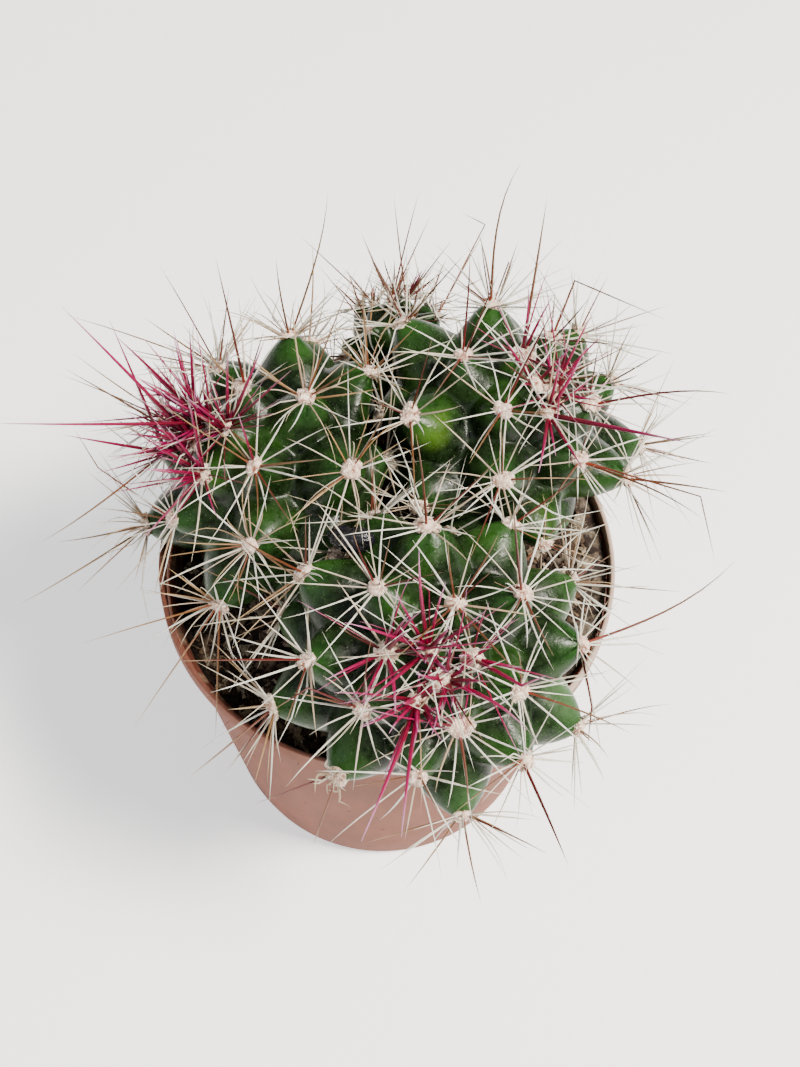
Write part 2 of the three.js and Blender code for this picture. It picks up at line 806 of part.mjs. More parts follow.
// The dried flower: a crumpled lump that lies against the flesh on both sides.
function makeDriedFlower(models) {
  const centre = new THREE.Vector3(...DRIED_FLOWER.centre);
  const lump = new THREE.IcosahedronGeometry(DRIED_FLOWER.radius, 1);
  const place = lump.attributes.position;
  for (let i = 0; i < place.count; i += 1) {
    const spot = new THREE.Vector3().fromBufferAttribute(place, i);
    const crease = 1 + 0.16 * Math.sin(2.3 * spot.x + 1) * Math.cos(2.9 * spot.y + 1.9 * spot.z);
    spot.multiplyScalar(crease).add(centre);
    place.setXYZ(i, spot.x, spot.y, spot.z);
  }
  let flower = solidOf(lump);
  for (const { frame, flesh } of models) {
    const way = centre.clone().sub(frame.centre).normalize().multiplyScalar(CLEARANCE + 0.1);
    flower = flower.subtract(flesh).subtract(flesh.translate(...way.toArray()));
  }
  return flower;
}

const models = Object.entries(HEADS).map(([name, head]) => {
  const frame = frameOf(head);
  return { name, head, frame, areoles: areolesOf(head), limits: limitsOf(name, frame) };
});

const pot = makePot();
let soil = soilBlock();
soilLumps().forEach((lump) => {
  soil = soil.add(lump);
});
for (const model of models) {
  soil = soil.subtract(hollowFor(model)).subtract(neckOf(model.head, CLEARANCE));
  model.flesh = fleshOf(model);
  model.solid = largestBody(model.flesh.subtract(rimRoom())).add(neckOf(model.head, 0));
}
addSpines(models);

addMesh('pot', pot, PLASTIC);
addMesh('soil', soil, SOIL);
addMesh('dried_flower', makeDriedFlower(models), HUSK);
models.forEach(({ name, solid }) => addMesh(name, solid, FLESH));

export default group;
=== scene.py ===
import math

import bmesh
import bpy
import numpy as np
from mathutils import Matrix, Vector


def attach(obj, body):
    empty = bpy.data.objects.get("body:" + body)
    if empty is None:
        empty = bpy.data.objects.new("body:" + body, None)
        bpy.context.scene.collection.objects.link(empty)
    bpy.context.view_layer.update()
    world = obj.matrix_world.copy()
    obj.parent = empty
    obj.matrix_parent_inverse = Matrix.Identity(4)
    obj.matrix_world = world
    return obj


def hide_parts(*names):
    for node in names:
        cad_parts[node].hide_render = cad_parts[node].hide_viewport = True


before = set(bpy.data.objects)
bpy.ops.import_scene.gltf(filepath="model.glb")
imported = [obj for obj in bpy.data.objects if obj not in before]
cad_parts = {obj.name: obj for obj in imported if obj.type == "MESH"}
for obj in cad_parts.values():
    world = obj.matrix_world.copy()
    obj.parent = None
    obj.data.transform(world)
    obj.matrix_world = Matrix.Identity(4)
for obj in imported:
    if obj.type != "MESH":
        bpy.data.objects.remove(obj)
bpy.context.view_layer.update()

MM = 0.001

# --- Camera ------------------------------------------------------------------
# The photograph looks down on the pot from the front, at 60 degrees, through a
# lens a little longer than a normal one, held a little askew.
VIEW_ELEVATION = math.radians(59.86)
VIEW_ROLL = math.radians(2.9)
VIEW_DISTANCE = 359.3 * MM
VIEW_CENTRE = Vector((2.57, 0, 102.52)) * MM
PHOTO_LONG_SIDE = 1067
FOCAL_LENGTH_IN_PIXELS = 1600
SENSOR_MM = 36

gaze = Vector((0, math.cos(VIEW_ELEVATION), -math.sin(VIEW_ELEVATION)))
level_right = Vector((1, 0, 0))
level_up = level_right.cross(gaze)
right = level_right * math.cos(VIEW_ROLL) + level_up * math.sin(VIEW_ROLL)
up = level_up * math.cos(VIEW_ROLL) - level_right * math.sin(VIEW_ROLL)
camera_data = bpy.data.cameras.new("camera")
camera_data.sensor_width = SENSOR_MM
camera_data.lens = SENSOR_MM * FOCAL_LENGTH_IN_PIXELS / PHOTO_LONG_SIDE
camera_data.clip_start = 10 * MM
camera = bpy.data.objects.new("camera", camera_data)
turn = Matrix((right, up, -gaze)).transposed().to_4x4()
camera.matrix_world = Matrix.Translation(VIEW_CENTRE - gaze * VIEW_DISTANCE) @ turn
bpy.context.scene.collection.objects.link(camera)
bpy.context.scene.camera = camera


# --- Floor and light ---------------------------------------------------------
# A plain pale studio floor, a small key light high on the right, a broad weak
# one on the left, and an even pale surround.
FLOOR_SIZE = 40.0


def linear(colour):
    """The linear RGBA of an sRGB hex colour such as "#b98a7e"."""
    parts = [int(colour[i:i + 2], 16) / 255 for i in (1, 3, 5)]
    return [c / 12.92 if c <= 0.04045 else ((c + 0.055) / 1.055) ** 2.4 for c in parts] + [1.0]


def set_inputs(tree, node, inputs):
    """Gives each named or numbered input of a node its value or its link."""
    for socket, value in inputs.items():
        if isinstance(value, bpy.types.NodeSocket):
            tree.links.new(value, node.inputs[socket])
        else:
            node.inputs[socket].default_value = value


def add_node(tree, kind, inputs=None, **settings):
    """Adds a node with its settings, and its inputs as values or as links."""
    node = tree.nodes.new(kind)
    for name, value in settings.items():
        setattr(node, name, value)
    set_inputs(tree, node, inputs or {})
    return node


def start_material(name):
    material = bpy.data.materials.new(name)
    material.use_nodes = True
    return material, material.node_tree


def set_shader(material, inputs):
    """Sets or links the inputs of a material's Principled shader."""
    tree = material.node_tree
    set_inputs(tree, tree.nodes["Principled BSDF"], inputs)
    return material


def link_object(name, mesh):
    piece = bpy.data.objects.new(name, mesh)
    bpy.context.scene.collection.objects.link(piece)
    return piece


def area_light(name, place, size, watts, colour):
    lamp = bpy.data.lights.new(name, "AREA")
    lamp.size = size
    lamp.energy = watts
    lamp.color = linear(colour)[:3]
    holder = bpy.data.objects.new(name, lamp)
    holder.location = place
    aim = VIEW_CENTRE - Vector(place)
    holder.rotation_euler = aim.to_track_quat("-Z", "Y").to_euler()
    bpy.context.scene.collection.objects.link(holder)


floor_mesh = bpy.data.meshes.new("floor")
half = FLOOR_SIZE / 2
corners = [(-half, -half, 0), (half, -half, 0), (half, half, 0), (-half, half, 0)]
floor_mesh.from_pydata(corners, [], [(0, 1, 2, 3)])
floor = link_object("floor", floor_mesh)
studio_paper, _ = start_material("white studio paper")
floor_mesh.materials.append(set_shader(studio_paper, {
    "Base Color": linear("#f8f8f6"), "Roughness": 0.9,
    "Emission Color": linear("#f8f9fb"), "Emission Strength": 1.0}))

area_light("key", (0.6, -0.2, 1.05), 0.26, 40, "#fff8ec")
area_light("fill", (-0.7, -0.6, 0.8), 0.9, 3, "#f2f6ff")
surround = bpy.data.worlds.new("surround")
surround.use_nodes = True
set_inputs(surround.node_tree, surround.node_tree.nodes["Background"], {
    "Color": linear("#f6f7fa"), "Strength": 0.36})
bpy.context.scene.world = surround


# --- Pot ---------------------------------------------------------------------
# A nursery pot of thin polypropylene, injection moulded, with a low collar
# under the rim and eight drain holes round its floor. Soil dust clings to it.
POT_HEIGHT = 92 * MM
RIM_RADIUS = 52.5 * MM
FOOT_RADIUS = 39.9 * MM
WALL = 1.1 * MM
WALL_LEVELS = 10
COLLAR_HEIGHT = 5.5 * MM
COLLAR_STEP = 1.2 * MM
INNER_STEP = 0.3 * MM
EDGE_ROUND = 0.6 * MM
FOOT_ROUND = 3 * MM
FLOOR_THICKNESS = 1.8 * MM
DRAIN_RADIUS = 3 * MM
DRAIN_CIRCLE = 26 * MM
DRAIN_HOLES = 8
POT_STEPS = 180
SHARP_EDGE = math.radians(40)
# Soil stains the inner wall up to its rim. The collar is painted paler towards its top, partly as
# dust and partly as painted light, most on the right, where the key light falls.
STAIN_TOP = 91.4 * MM
STAIN_FADE = 3 * MM
RIM_PALING_FROM = 87 * MM
RIM_PALING_FADE = 4 * MM
RIM_PALING_IN_FRONT = 0.3
RIM_PALING_AT_MOST = 0.9
RIM_PALING_SPREAD = 70 * MM


def wall_radius(z):
    """The pot's outer radius below its collar."""
    top = RIM_RADIUS - COLLAR_STEP
    return FOOT_RADIUS + (top - FOOT_RADIUS) * z / POT_HEIGHT


def arc(centre, radius, start, end, steps):
    """Points of an arc in the profile's plane, by angles in degrees."""
    angles = np.radians(np.linspace(start, end, steps))
    return [(centre[0] + radius * math.cos(a), centre[1] + radius * math.sin(a)) for a in angles]


def pot_profile():
    """The pot's half section, from the middle of its foot round to its floor."""
    collar_foot = POT_HEIGHT - COLLAR_HEIGHT
    inside_top = RIM_RADIUS - WALL
    inside_low = wall_radius(FOOT_ROUND) - WALL
    floor_edge = FOOT_RADIUS - FOOT_ROUND
    points = [(0, 0), (floor_edge, 0)]
    points += arc((floor_edge, FOOT_ROUND), FOOT_ROUND, -75, 0, 6)
    outside_levels = np.linspace(2 * FOOT_ROUND, collar_foot, WALL_LEVELS)
    points += [(wall_radius(z), z) for z in outside_levels]
    points += arc((RIM_RADIUS - EDGE_ROUND, collar_foot + EDGE_ROUND), EDGE_ROUND, -80, 0, 5)
    points += arc((RIM_RADIUS - WALL / 2, POT_HEIGHT - WALL / 2), WALL / 2, 0, 180, 9)
    points += [(inside_top, collar_foot + EDGE_ROUND), (inside_top - INNER_STEP, collar_foot)]
    inside_levels = np.linspace(collar_foot - EDGE_ROUND, 2 * FOOT_ROUND, WALL_LEVELS)
    points += [(wall_radius(z) - WALL, z) for z in inside_levels]
    corner = (inside_low - FOOT_ROUND, FLOOR_THICKNESS + FOOT_ROUND)
    points += arc(corner, FOOT_ROUND, 0, -90, 5)
    return points + [(0, FLOOR_THICKNESS)]


def finished_mesh(shape, name):
    """A mesh of the given name from a bmesh, which it frees."""
    mesh = bpy.data.meshes.new(name)
    shape.to_mesh(mesh)
    shape.free()
    return mesh


def spun(name, points, steps):
    """A closed solid of revolution about Z from a profile that ends on the axis."""
    shape = bmesh.new()
    verts = [shape.verts.new((r, 0, z)) for r, z in points]
    edges = [shape.edges.new(pair) for pair in zip(verts, verts[1:])]
    bmesh.ops.spin(
        shape, geom=verts + edges, axis=(0, 0, 1), cent=(0, 0, 0), angle=2 * math.pi,
        steps=steps, use_duplicate=False)
    bmesh.ops.remove_doubles(shape, verts=shape.verts, dist=1e-6)
    bmesh.ops.recalc_face_normals(shape, faces=shape.faces)
    return finished_mesh(shape, name)


def drain_cutter():
    """The plugs that cut the drain holes out of the pot's floor."""
    shape = bmesh.new()
    for i in range(DRAIN_HOLES):
        angle = 2 * math.pi * (i + 0.5) / DRAIN_HOLES
        place = (DRAIN_CIRCLE * math.cos(angle), DRAIN_CIRCLE * math.sin(angle), 0)
        bmesh.ops.create_cone(
            shape, cap_ends=True, segments=32, radius1=DRAIN_RADIUS, radius2=DRAIN_RADIUS,
            depth=4 * FLOOR_THICKNESS, matrix=Matrix.Translation(place))
    return link_object("drain_cutter", finished_mesh(shape, "drain cutter"))


def applied(piece):
    """Turns a piece with modifiers into its plain mesh."""
    shown = piece.evaluated_get(bpy.context.evaluated_depsgraph_get())
    result = bpy.data.meshes.new_from_object(shown)
    piece.modifiers.clear()
    old = piece.data
    piece.data = result
    bpy.data.meshes.remove(old)
    return piece


def set_floats(mesh, name, values):
    layer = mesh.attributes.new(name, "FLOAT", "POINT")
    layer.data.foreach_set("value", np.ascontiguousarray(values, dtype=np.float32))


def coloured_by(ramp, *stops):
    """The colour of a ramp node, once it has these places and hex colours."""
    elements = ramp.color_ramp.elements
    elements[0].position, elements[1].position = stops[0][0], stops[-1][0]
    for position, _ in stops[1:-1]:
        elements.new(position)
    for element, (_, colour) in zip(elements, stops):
        element.color = linear(colour)
    return ramp.outputs["Color"]


def pot_plastic():
    """Dusty pinkish terracotta polypropylene: a soft sheen, vertical streaks painted in as
    reflections, dark specks, a collar painted paler towards the right as dust and painted light, and
    soil stains on the inner wall."""
    material, tree = start_material("moulded terracotta polypropylene")
    place = add_node(tree, "ShaderNodeTexCoord").outputs["Object"]
    # The noise drawn out upright gives paler and darker vertical streaks: painted reflections over
    # the plastic's cloudy tone.
    drawn_out = add_node(tree, "ShaderNodeMapping", {"Vector": place, "Scale": (1, 1, 0.3)})
    bloom = add_node(tree, "ShaderNodeTexNoise", {
        "Vector": drawn_out.outputs[0], "Scale": 1 / (9 * MM), "Detail": 6, "Roughness": 0.65})
    clouds_and_reflection_streaks = coloured_by(add_node(tree, "ShaderNodeValToRGB", {"Fac": bloom.outputs["Fac"]}),
                         (0.3, "#72483b"), (0.7, "#88594b"))
    broad = add_node(tree, "ShaderNodeTexNoise", {
        "Vector": place, "Scale": 1 / (28 * MM), "Detail": 3})
    dulled = add_node(tree, "ShaderNodeMapRange", {
        "Value": broad.outputs["Fac"], "From Min": 0.36, "From Max": 0.64, "To Min": 0.86,
        "To Max": 1.04})
    faded = add_node(tree, "ShaderNodeMix", {0: 1.0, 6: clouds_and_reflection_streaks, 7: dulled.outputs[0]},
                     data_type="RGBA", blend_type="MULTIPLY")
    speck = add_node(tree, "ShaderNodeTexVoronoi", {"Vector": place, "Scale": 1 / (5.5 * MM)})
    dot = add_node(tree, "ShaderNodeMapRange", {
        "Value": speck.outputs["Distance"], "From Min": 0.06, "From Max": 0.12, "To Min": 0.8,
        "To Max": 0})
    specked = add_node(tree, "ShaderNodeMix", {
        0: dot.outputs[0], 6: faded.outputs[2], 7: linear("#4c2a22")}, data_type="RGBA")
    # The collar's pale band: partly dust, and partly painted light that grows towards the lit right
    # side.
    rim_dust_and_light = add_node(tree, "ShaderNodeAttribute", attribute_name="rim_dust_and_light")
    toned = add_node(tree, "ShaderNodeMix", {
        0: rim_dust_and_light.outputs["Fac"], 6: specked.outputs[2], 7: linear("#b9a294")}, data_type="RGBA")
    inner = add_node(tree, "ShaderNodeAttribute", attribute_name="inner")
    grime = add_node(tree, "ShaderNodeTexNoise", {
        "Vector": place, "Scale": 1 / (3 * MM), "Detail": 6})
    grime_share = add_node(tree, "ShaderNodeMapRange", {
        "Value": grime.outputs["Fac"], "From Min": 0.35, "From Max": 0.6, "To Min": 0.6,
        "To Max": 1})
    stained = add_node(tree, "ShaderNodeMath", {0: inner.outputs["Fac"], 1: grime_share.outputs[0]},
                       operation="MULTIPLY")
    crust = coloured_by(add_node(tree, "ShaderNodeValToRGB", {"Fac": grime.outputs["Fac"]}),
                        (0.46, "#4a241b"), (0.68, "#8d7460"))
    colour = add_node(tree, "ShaderNodeMix", {
        0: stained.outputs[0], 6: toned.outputs[2], 7: crust}, data_type="RGBA")
    dust = add_node(tree, "ShaderNodeMapRange", {
        "Value": bloom.outputs["Fac"], "To Min": 0.45, "To Max": 0.75})
    grain = add_node(tree, "ShaderNodeTexNoise", {
        "Vector": place, "Scale": 1 / (0.8 * MM), "Detail": 3})
    relief = add_node(tree, "ShaderNodeBump", {
        "Height": grain.outputs["Fac"], "Strength": 0.2, "Distance": 0.1 * MM})
    return set_shader(material, {
        "Base Color": colour.outputs[2], "Roughness": dust.outputs[0],
        "Normal": relief.outputs["Normal"], "IOR": 1.49, "Specular IOR Level": 0.04,
        "Subsurface Weight": 0.12, "Subsurface Radius": (1.0, 0.45, 0.35),
        "Subsurface Scale": 2 * MM})


pot = link_object("pot_shell", spun("pot_shell", pot_profile(), POT_STEPS))
cutter = drain_cutter()
holes = pot.modifiers.new("drain holes", "BOOLEAN")
holes.operation = "DIFFERENCE"
holes.object = cutter
holes.solver = "EXACT"
applied(pot)
bpy.data.objects.remove(cutter)
pot_place = np.array([v.co for v in pot.data.vertices])
facing = np.array([v.normal for v in pot.data.vertices])
pot_out = np.hypot(pot_place[:, 0], pot_place[:, 1])
faces_in = (pot_place[:, :2] * facing[:, :2]).sum(axis=1) < -0.5 * pot_out
set_floats(pot.data, "inner",
           faces_in * np.clip((STAIN_TOP - pot_place[:, 2]) / STAIN_FADE, 0, 1))
# Paler up the collar and towards the right: partly dust, partly painted light from the right.
set_floats(pot.data, "rim_dust_and_light",
           np.clip((pot_place[:, 2] - RIM_PALING_FROM) / RIM_PALING_FADE, 0, 1)
           * np.clip(RIM_PALING_IN_FRONT + pot_place[:, 0] / RIM_PALING_SPREAD, 0, RIM_PALING_AT_MOST))
pot.data.materials.clear()
pot.data.materials.append(pot_plastic())
pot.data.shade_smooth()
pot.data.set_sharp_from_angle(angle=SHARP_EDGE)
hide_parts("pot")
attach(pot, "root")


# --- Cactus flesh ------------------------------------------------------------
# Four round heads of one clump, pressed together and over the pot's rim. Each
# is set with blunt tubercles in golden-angle spirals, with sharp valleys
# between them, as it grew. The skin is waxy, dark green and finely speckled.
GOLDEN_ANGLE = math.radians(137.508)
# A head's middle, girth and rise in mm, and its lean and heading in degrees;
# its spiral's start, first step, gain, power and hand; and its seed. The tuck
# says how far its low side draws in, and from what fall to what fall, and the
# dent says beside which areole it lies, how wide in degrees and how deep.
TUCK = (0.28, 0.22, 0.55)
NO_DENT = (0, 1, 0)
HEADS = {
    "head_front": {
        "centre": (10, -32, 107), "lean": 33, "heading": -88, "girth": 35, "rise": 27.5,
        "start": 58, "first": 2.06, "gain": 1.93, "power": 1.2, "hand": 1, "seed": 31},
    "head_left": {
        "centre": (-24, 10.5, 106.5), "lean": 37, "heading": 188, "girth": 35, "rise": 27,
        "start": 247, "first": 1.81, "gain": 1.73, "power": 1.27, "hand": 1, "seed": 12},
    "head_right": {
        "centre": (22.5, 20.5, 109), "lean": 22, "heading": -4, "girth": 36, "rise": 27.5,
        "start": 328, "first": 1.61, "gain": 1.46, "power": 1.31, "hand": -1, "seed": 13,
        "tuck": (0.42, 0.1, 0.5), "dent": (21, 26, 0.27)},
    "head_back": {
        "centre": (0, 46, 98), "lean": 20, "heading": 102, "girth": 17, "rise": 21.5,
        "start": 20, "first": 1.6, "gain": 2.4, "power": 1.27, "hand": 1, "seed": 14},
}
TUBERCLE_SHARE = 0.36
CROWN_TUBERCLE_SHARE = 0.086
TUBERCLE_HALF_WIDTH = 0.62
HEXAGONAL_PACKING = 1.155
GROWN_POLAR = math.radians(45)
LOWEST_AREOLE = math.radians(150)
BLUNT_SHARE = 0.1
FLANK_TILT = 0.15
FLANK_REACH = 0.95
FLANK_POWER = 1.12
VALLEY_SHARPNESS = 16
PRESSED_RELIEF = 0.7
PRESS_SHARPNESS = 14
UNEVENNESS = 0.006
FLESH_FOOT = 79 * MM
CLEARANCE = 0.35 * MM
SKIN_SUBDIVISIONS = 7
# Where yellow-green is painted on as light shining into the skin, and where the skin is painted
# pale, partly as wax bloom and partly as painted light and sky reflection on the lit flanks: a point
# in mm, how far the patch reaches in mm, and how strong it is.
LIT_YELLOW_PATCHES = [((8.3, 8.4, 132.3), 6.5, 0.42), ((33.3, -5.2, 119.8), 7, 0.22)]
PALE_AND_LIT_PATCHES = [((39.4, -38.9, 107.3), 9, 0.55), ((19.3, -61.5, 101.2), 8, 0.35),
        ((39, -5, 107), 9, 0.9), ((-36, -6, 106), 8, 0.5)]
PATCH_SOFTNESS = 1.6


def direction(polar, turned):
    """Unit directions on a head, from polar angles and turns about its axis."""
    ring = np.sin(polar)
    return np.stack([ring * np.cos(turned), ring * np.sin(turned), np.cos(polar)], axis=-1)


def unit(vectors):
    return vectors / np.linalg.norm(vectors, axis=-1, keepdims=True)


def eased(t):
    """A smooth step from 0 at t = 0 to 1 at t = 1."""
    t = np.clip(t, 0, 1)
    return t * t * (3 - 2 * t)


def angle_between(ways, way):
    return np.arccos(np.clip(ways @ way, -1, 1))


class Head:
    """One head: its frame, its areoles, and the planes that it stays behind."""

    def __init__(self, name):
        facts = HEADS[name]
        self.name = name
        self.girth = facts["girth"] * MM
        self.rise = facts["rise"] * MM
        self.centre = np.array(facts["centre"]) * MM
        self.tuck, self.tuck_from, self.tuck_to = facts.get("tuck", TUCK)
        self.draw = np.random.default_rng(facts["seed"])
        lean, heading = math.radians(facts["lean"]), math.radians(facts["heading"])
        c, s = math.cos(heading), math.sin(heading)
        self.axis = np.array([math.sin(lean) * c, math.sin(lean) * s, math.cos(lean)])
        self.across = np.array([math.cos(lean) * c, math.cos(lean) * s, -math.sin(lean)])
        self.along = np.cross(self.axis, self.across)
        gain, power, first = math.radians(facts["gain"]), facts["power"], facts["first"]
        count = math.ceil((LOWEST_AREOLE / gain) ** (1 / power) - first)
        k = np.arange(count)
        self.polar = gain * (k + first) ** power
        step = gain * power * (k + first) ** (power - 1)
        turned = math.radians(facts["start"]) + facts["hand"] * GOLDEN_ANGLE * k
        self.tips = direction(self.polar, turned)
        self.half_width = TUBERCLE_HALF_WIDTH * np.sqrt(
            HEXAGONAL_PACKING * 2 * math.pi * np.sin(self.polar) * step)
        self.tip_up = unit(np.array([0, 0, 1]) - self.tips * self.tips[:, 2:])
        areole, reach, depth = facts.get("dent", NO_DENT)
        self.dent = (self.tips[areole], math.radians(reach), depth)
        self.limits = [(np.array([0, 0, -1.0]), self.centre[2] - FLESH_FOOT)]
        for other, its in HEADS.items():
            if other != name:
                apart = np.array(its["centre"]) * MM - self.centre
                reach = np.linalg.norm(apart)
                own = facts["girth"] ** 2 / (facts["girth"] ** 2 + its["girth"] ** 2)
                self.limits.append((apart / reach, reach * own - CLEARANCE / 2))

    def place(self, ways, share):
        """Points at a share of the full girth and rise in the given directions."""
        scaled = ways * np.array([self.girth, self.girth, self.rise])
        full = scaled @ np.stack([self.across, self.along, self.axis])
        return self.centre + full * np.asarray(share)[..., None]

    def tubercle_rise(self, ways):
        """1 on a tubercle's blunt tip and 0 at its foot, rounded in the valleys."""
        away = angle_between(ways, self.tips.T) / self.half_width
        above = (ways @ self.tip_up.T) / self.half_width
        tilted = away * (1 + FLANK_TILT * np.clip(above, -2, 2))
        t = np.clip((tilted - BLUNT_SHARE) / FLANK_REACH, 0, 1)
        each = 1 - t ** FLANK_POWER
        return np.log(np.exp(VALLEY_SHARPNESS * each).sum(axis=-1)) / VALLEY_SHARPNESS

    def tucked_share(self, ways):
        """What is left of the full girth where a low side tucks in or is dented."""
        fall = -(ways[..., 0] * self.across[2] + ways[..., 2] * self.axis[2])
        low = eased((fall - self.tuck_from) / (self.tuck_to - self.tuck_from))
        middle, reach, depth = self.dent
        away = angle_between(ways, middle) / reach
        return 1 - self.tuck * low - depth * np.exp(-away ** 2)

    def skin_share(self, ways):
        """The share of the full girth that the skin reaches in each direction."""
        grown = eased(np.arccos(np.clip(ways[..., 2], -1, 1)) / GROWN_POLAR)
        depth = CROWN_TUBERCLE_SHARE + (TUBERCLE_SHARE - CROWN_TUBERCLE_SHARE) * grown
        sunk = depth * (1 - np.minimum(self.tubercle_rise(ways), 1))
        share = self.tucked_share(ways) - sunk
        full = self.place(ways, 1) - self.centre
        for normal, distance in self.limits:
            reach = np.maximum(full @ normal, 1e-6)
            pressed = np.minimum(distance / reach * (1 - PRESSED_RELIEF * sunk), 3)
            both = np.exp(-PRESS_SHARPNESS * share) + np.exp(-PRESS_SHARPNESS * pressed)
            share = np.minimum(share, -np.log(both) / PRESS_SHARPNESS)
        return share

    def way_to(self, points):
        """The direction of points on the head's unit sphere, and their share."""
        local = (points - self.centre) @ np.stack([self.across, self.along, self.axis]).T
        scaled = local / np.array([self.girth, self.girth, self.rise])
        share = np.linalg.norm(scaled, axis=-1)
        return scaled / np.maximum(share, 1e-9)[..., None], share


def patches(points, spots):
    """How strongly each point is touched by the nearest of some soft patches."""
    total = np.zeros(len(points))
    for centre, reach, strength in spots:
        away = np.linalg.norm(points - np.array(centre) * MM, axis=1) / (reach * MM)
        total = np.maximum(total, strength * np.exp(-away ** 2 * PATCH_SOFTNESS))
    return total


def grow_flesh(head):
    """The skin of one head, with how high and how old each spot of it is."""
    shape = bmesh.new()
    bmesh.ops.create_icosphere(shape, subdivisions=SKIN_SUBDIVISIONS, radius=1)
    mesh = finished_mesh(shape, head.name + "_flesh")
    ways = np.zeros(len(mesh.vertices) * 3, np.float32)
    mesh.vertices.foreach_get("co", ways)
    ways = unit(ways.reshape(-1, 3).astype(float))
    x, y, z = ways.T
    waves = (np.sin(9.1 * x + 5.3 * y + 1.0) * np.sin(8.3 * y - 6.1 * z)
             + 0.6 * np.sin(23 * z + 17 * x) * np.sin(21 * y + 0.4))
    spots = head.place(ways, head.skin_share(ways) * (1 + UNEVENNESS * waves))
    mesh.vertices.foreach_set("co", spots.astype(np.float32).ravel())
    set_floats(mesh, "lit_yellow", patches(spots, LIT_YELLOW_PATCHES))
    set_floats(mesh, "pale", patches(spots, PALE_AND_LIT_PATCHES))
    set_floats(mesh, "height", np.clip(head.tubercle_rise(ways), 0, 1))
    set_floats(mesh, "age", np.arccos(np.clip(z, -1, 1)) / LOWEST_AREOLE)
    mesh.update()
    mesh.shade_smooth()
    return mesh


def waxy_skin():
    """Living cactus skin under a wax bloom: near-black in the valleys as painted shade, fresher
    green on the tubercles, greyer with age low on the head, with pale pin specks."""
    material, tree = start_material("waxy green cactus skin")
    place = add_node(tree, "ShaderNodeTexCoord").outputs["Object"]
    height = add_node(tree, "ShaderNodeAttribute", attribute_name="height").outputs["Fac"]
    age = add_node(tree, "ShaderNodeAttribute", attribute_name="age").outputs["Fac"]
    # Near-black at the foot of each tubercle, where the valleys lie: painted shade.
    green = coloured_by(add_node(tree, "ShaderNodeValToRGB", {"Fac": height}),
                        (0.34, "#030802"), (0.6, "#0c1906"), (0.95, "#1a3c12"))
    patch = add_node(tree, "ShaderNodeTexNoise", {
        "Vector": place, "Scale": 1 / (13 * MM), "Detail": 2}).outputs["Fac"]
    fresh_share = add_node(tree, "ShaderNodeMapRange", {
        "Value": patch, "From Min": 0.5, "From Max": 0.74, "To Min": 0, "To Max": 0.45})
    fresh = add_node(tree, "ShaderNodeMix", {
        0: fresh_share.outputs[0], 6: green, 7: linear("#2c5612")}, data_type="RGBA")
    old_share = add_node(tree, "ShaderNodeMapRange", {
        "Value": age, "From Min": 0.5, "From Max": 0.85, "To Min": 0, "To Max": 0.6})
    aged = add_node(tree, "ShaderNodeMix", {
        0: old_share.outputs[0], 6: fresh.outputs[2], 7: linear("#3a5730")}, data_type="RGBA")
    patched = aged.outputs[2]
    # Painted light: yellow-green where light shines into the skin, and pale patches that are partly
    # wax bloom and partly painted light and reflection.
    for label, colour in (("lit_yellow", "#5f8820"), ("pale", "#587850")):
        touch = add_node(tree, "ShaderNodeAttribute", attribute_name=label)
        uneven = add_node(tree, "ShaderNodeMath", {0: touch.outputs["Fac"], 1: patch},
                          operation="MULTIPLY")
        share = add_node(tree, "ShaderNodeMapRange", {
            "Value": uneven.outputs[0], "From Min": 0.06, "From Max": 0.4})
        patched = add_node(tree, "ShaderNodeMix", {
            0: share.outputs[0], 6: patched, 7: linear(colour)}, data_type="RGBA").outputs[2]
    mottle = add_node(tree, "ShaderNodeTexNoise", {
        "Vector": place, "Scale": 1 / (1.6 * MM), "Detail": 4}).outputs["Fac"]
    mottle_share = add_node(tree, "ShaderNodeMapRange", {
        "Value": mottle, "From Min": 0.3, "From Max": 0.75, "To Min": 0, "To Max": 0.12})
    mottled = add_node(tree, "ShaderNodeMix", {
        0: mottle_share.outputs[0], 6: patched, 7: linear("#4a7038")}, data_type="RGBA")
    speck = add_node(tree, "ShaderNodeTexVoronoi", {"Vector": place, "Scale": 1 / (0.65 * MM)})
    dot = add_node(tree, "ShaderNodeMapRange", {
        "Value": speck.outputs["Distance"], "From Min": 0.07, "From Max": 0.15, "To Min": 0.34,
        "To Max": 0})
    specked = add_node(tree, "ShaderNodeMix", {
        0: dot.outputs[0], 6: mottled.outputs[2], 7: linear("#9fb88a")}, data_type="RGBA")
    gloss = add_node(tree, "ShaderNodeMapRange", {
        "Value": mottle, "From Min": 0.3, "From Max": 0.7, "To Min": 0.18, "To Max": 0.46})
    pores = add_node(tree, "ShaderNodeTexNoise", {
        "Vector": place, "Scale": 1 / (0.7 * MM), "Detail": 3})
    relief = add_node(tree, "ShaderNodeBump", {
        "Height": pores.outputs["Fac"], "Strength": 0.55, "Distance": 0.15 * MM})
    return set_shader(material, {
        "Base Color": specked.outputs[2], "Roughness": gloss.outputs[0],
        "Normal": relief.outputs["Normal"], "IOR": 1.4, "Specular IOR Level": 0.31,
        "Subsurface Weight": 0.05, "Subsurface Radius": (0.4, 1.0, 0.2),
        "Subsurface Scale": 2 * MM})


heads = {name: Head(name) for name in HEADS}
skin = waxy_skin()
for head in heads.values():
    flesh = link_object(head.name + "_flesh", grow_flesh(head))
    flesh.data.materials.append(skin)
    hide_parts(head.name)
    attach(flesh, "root")


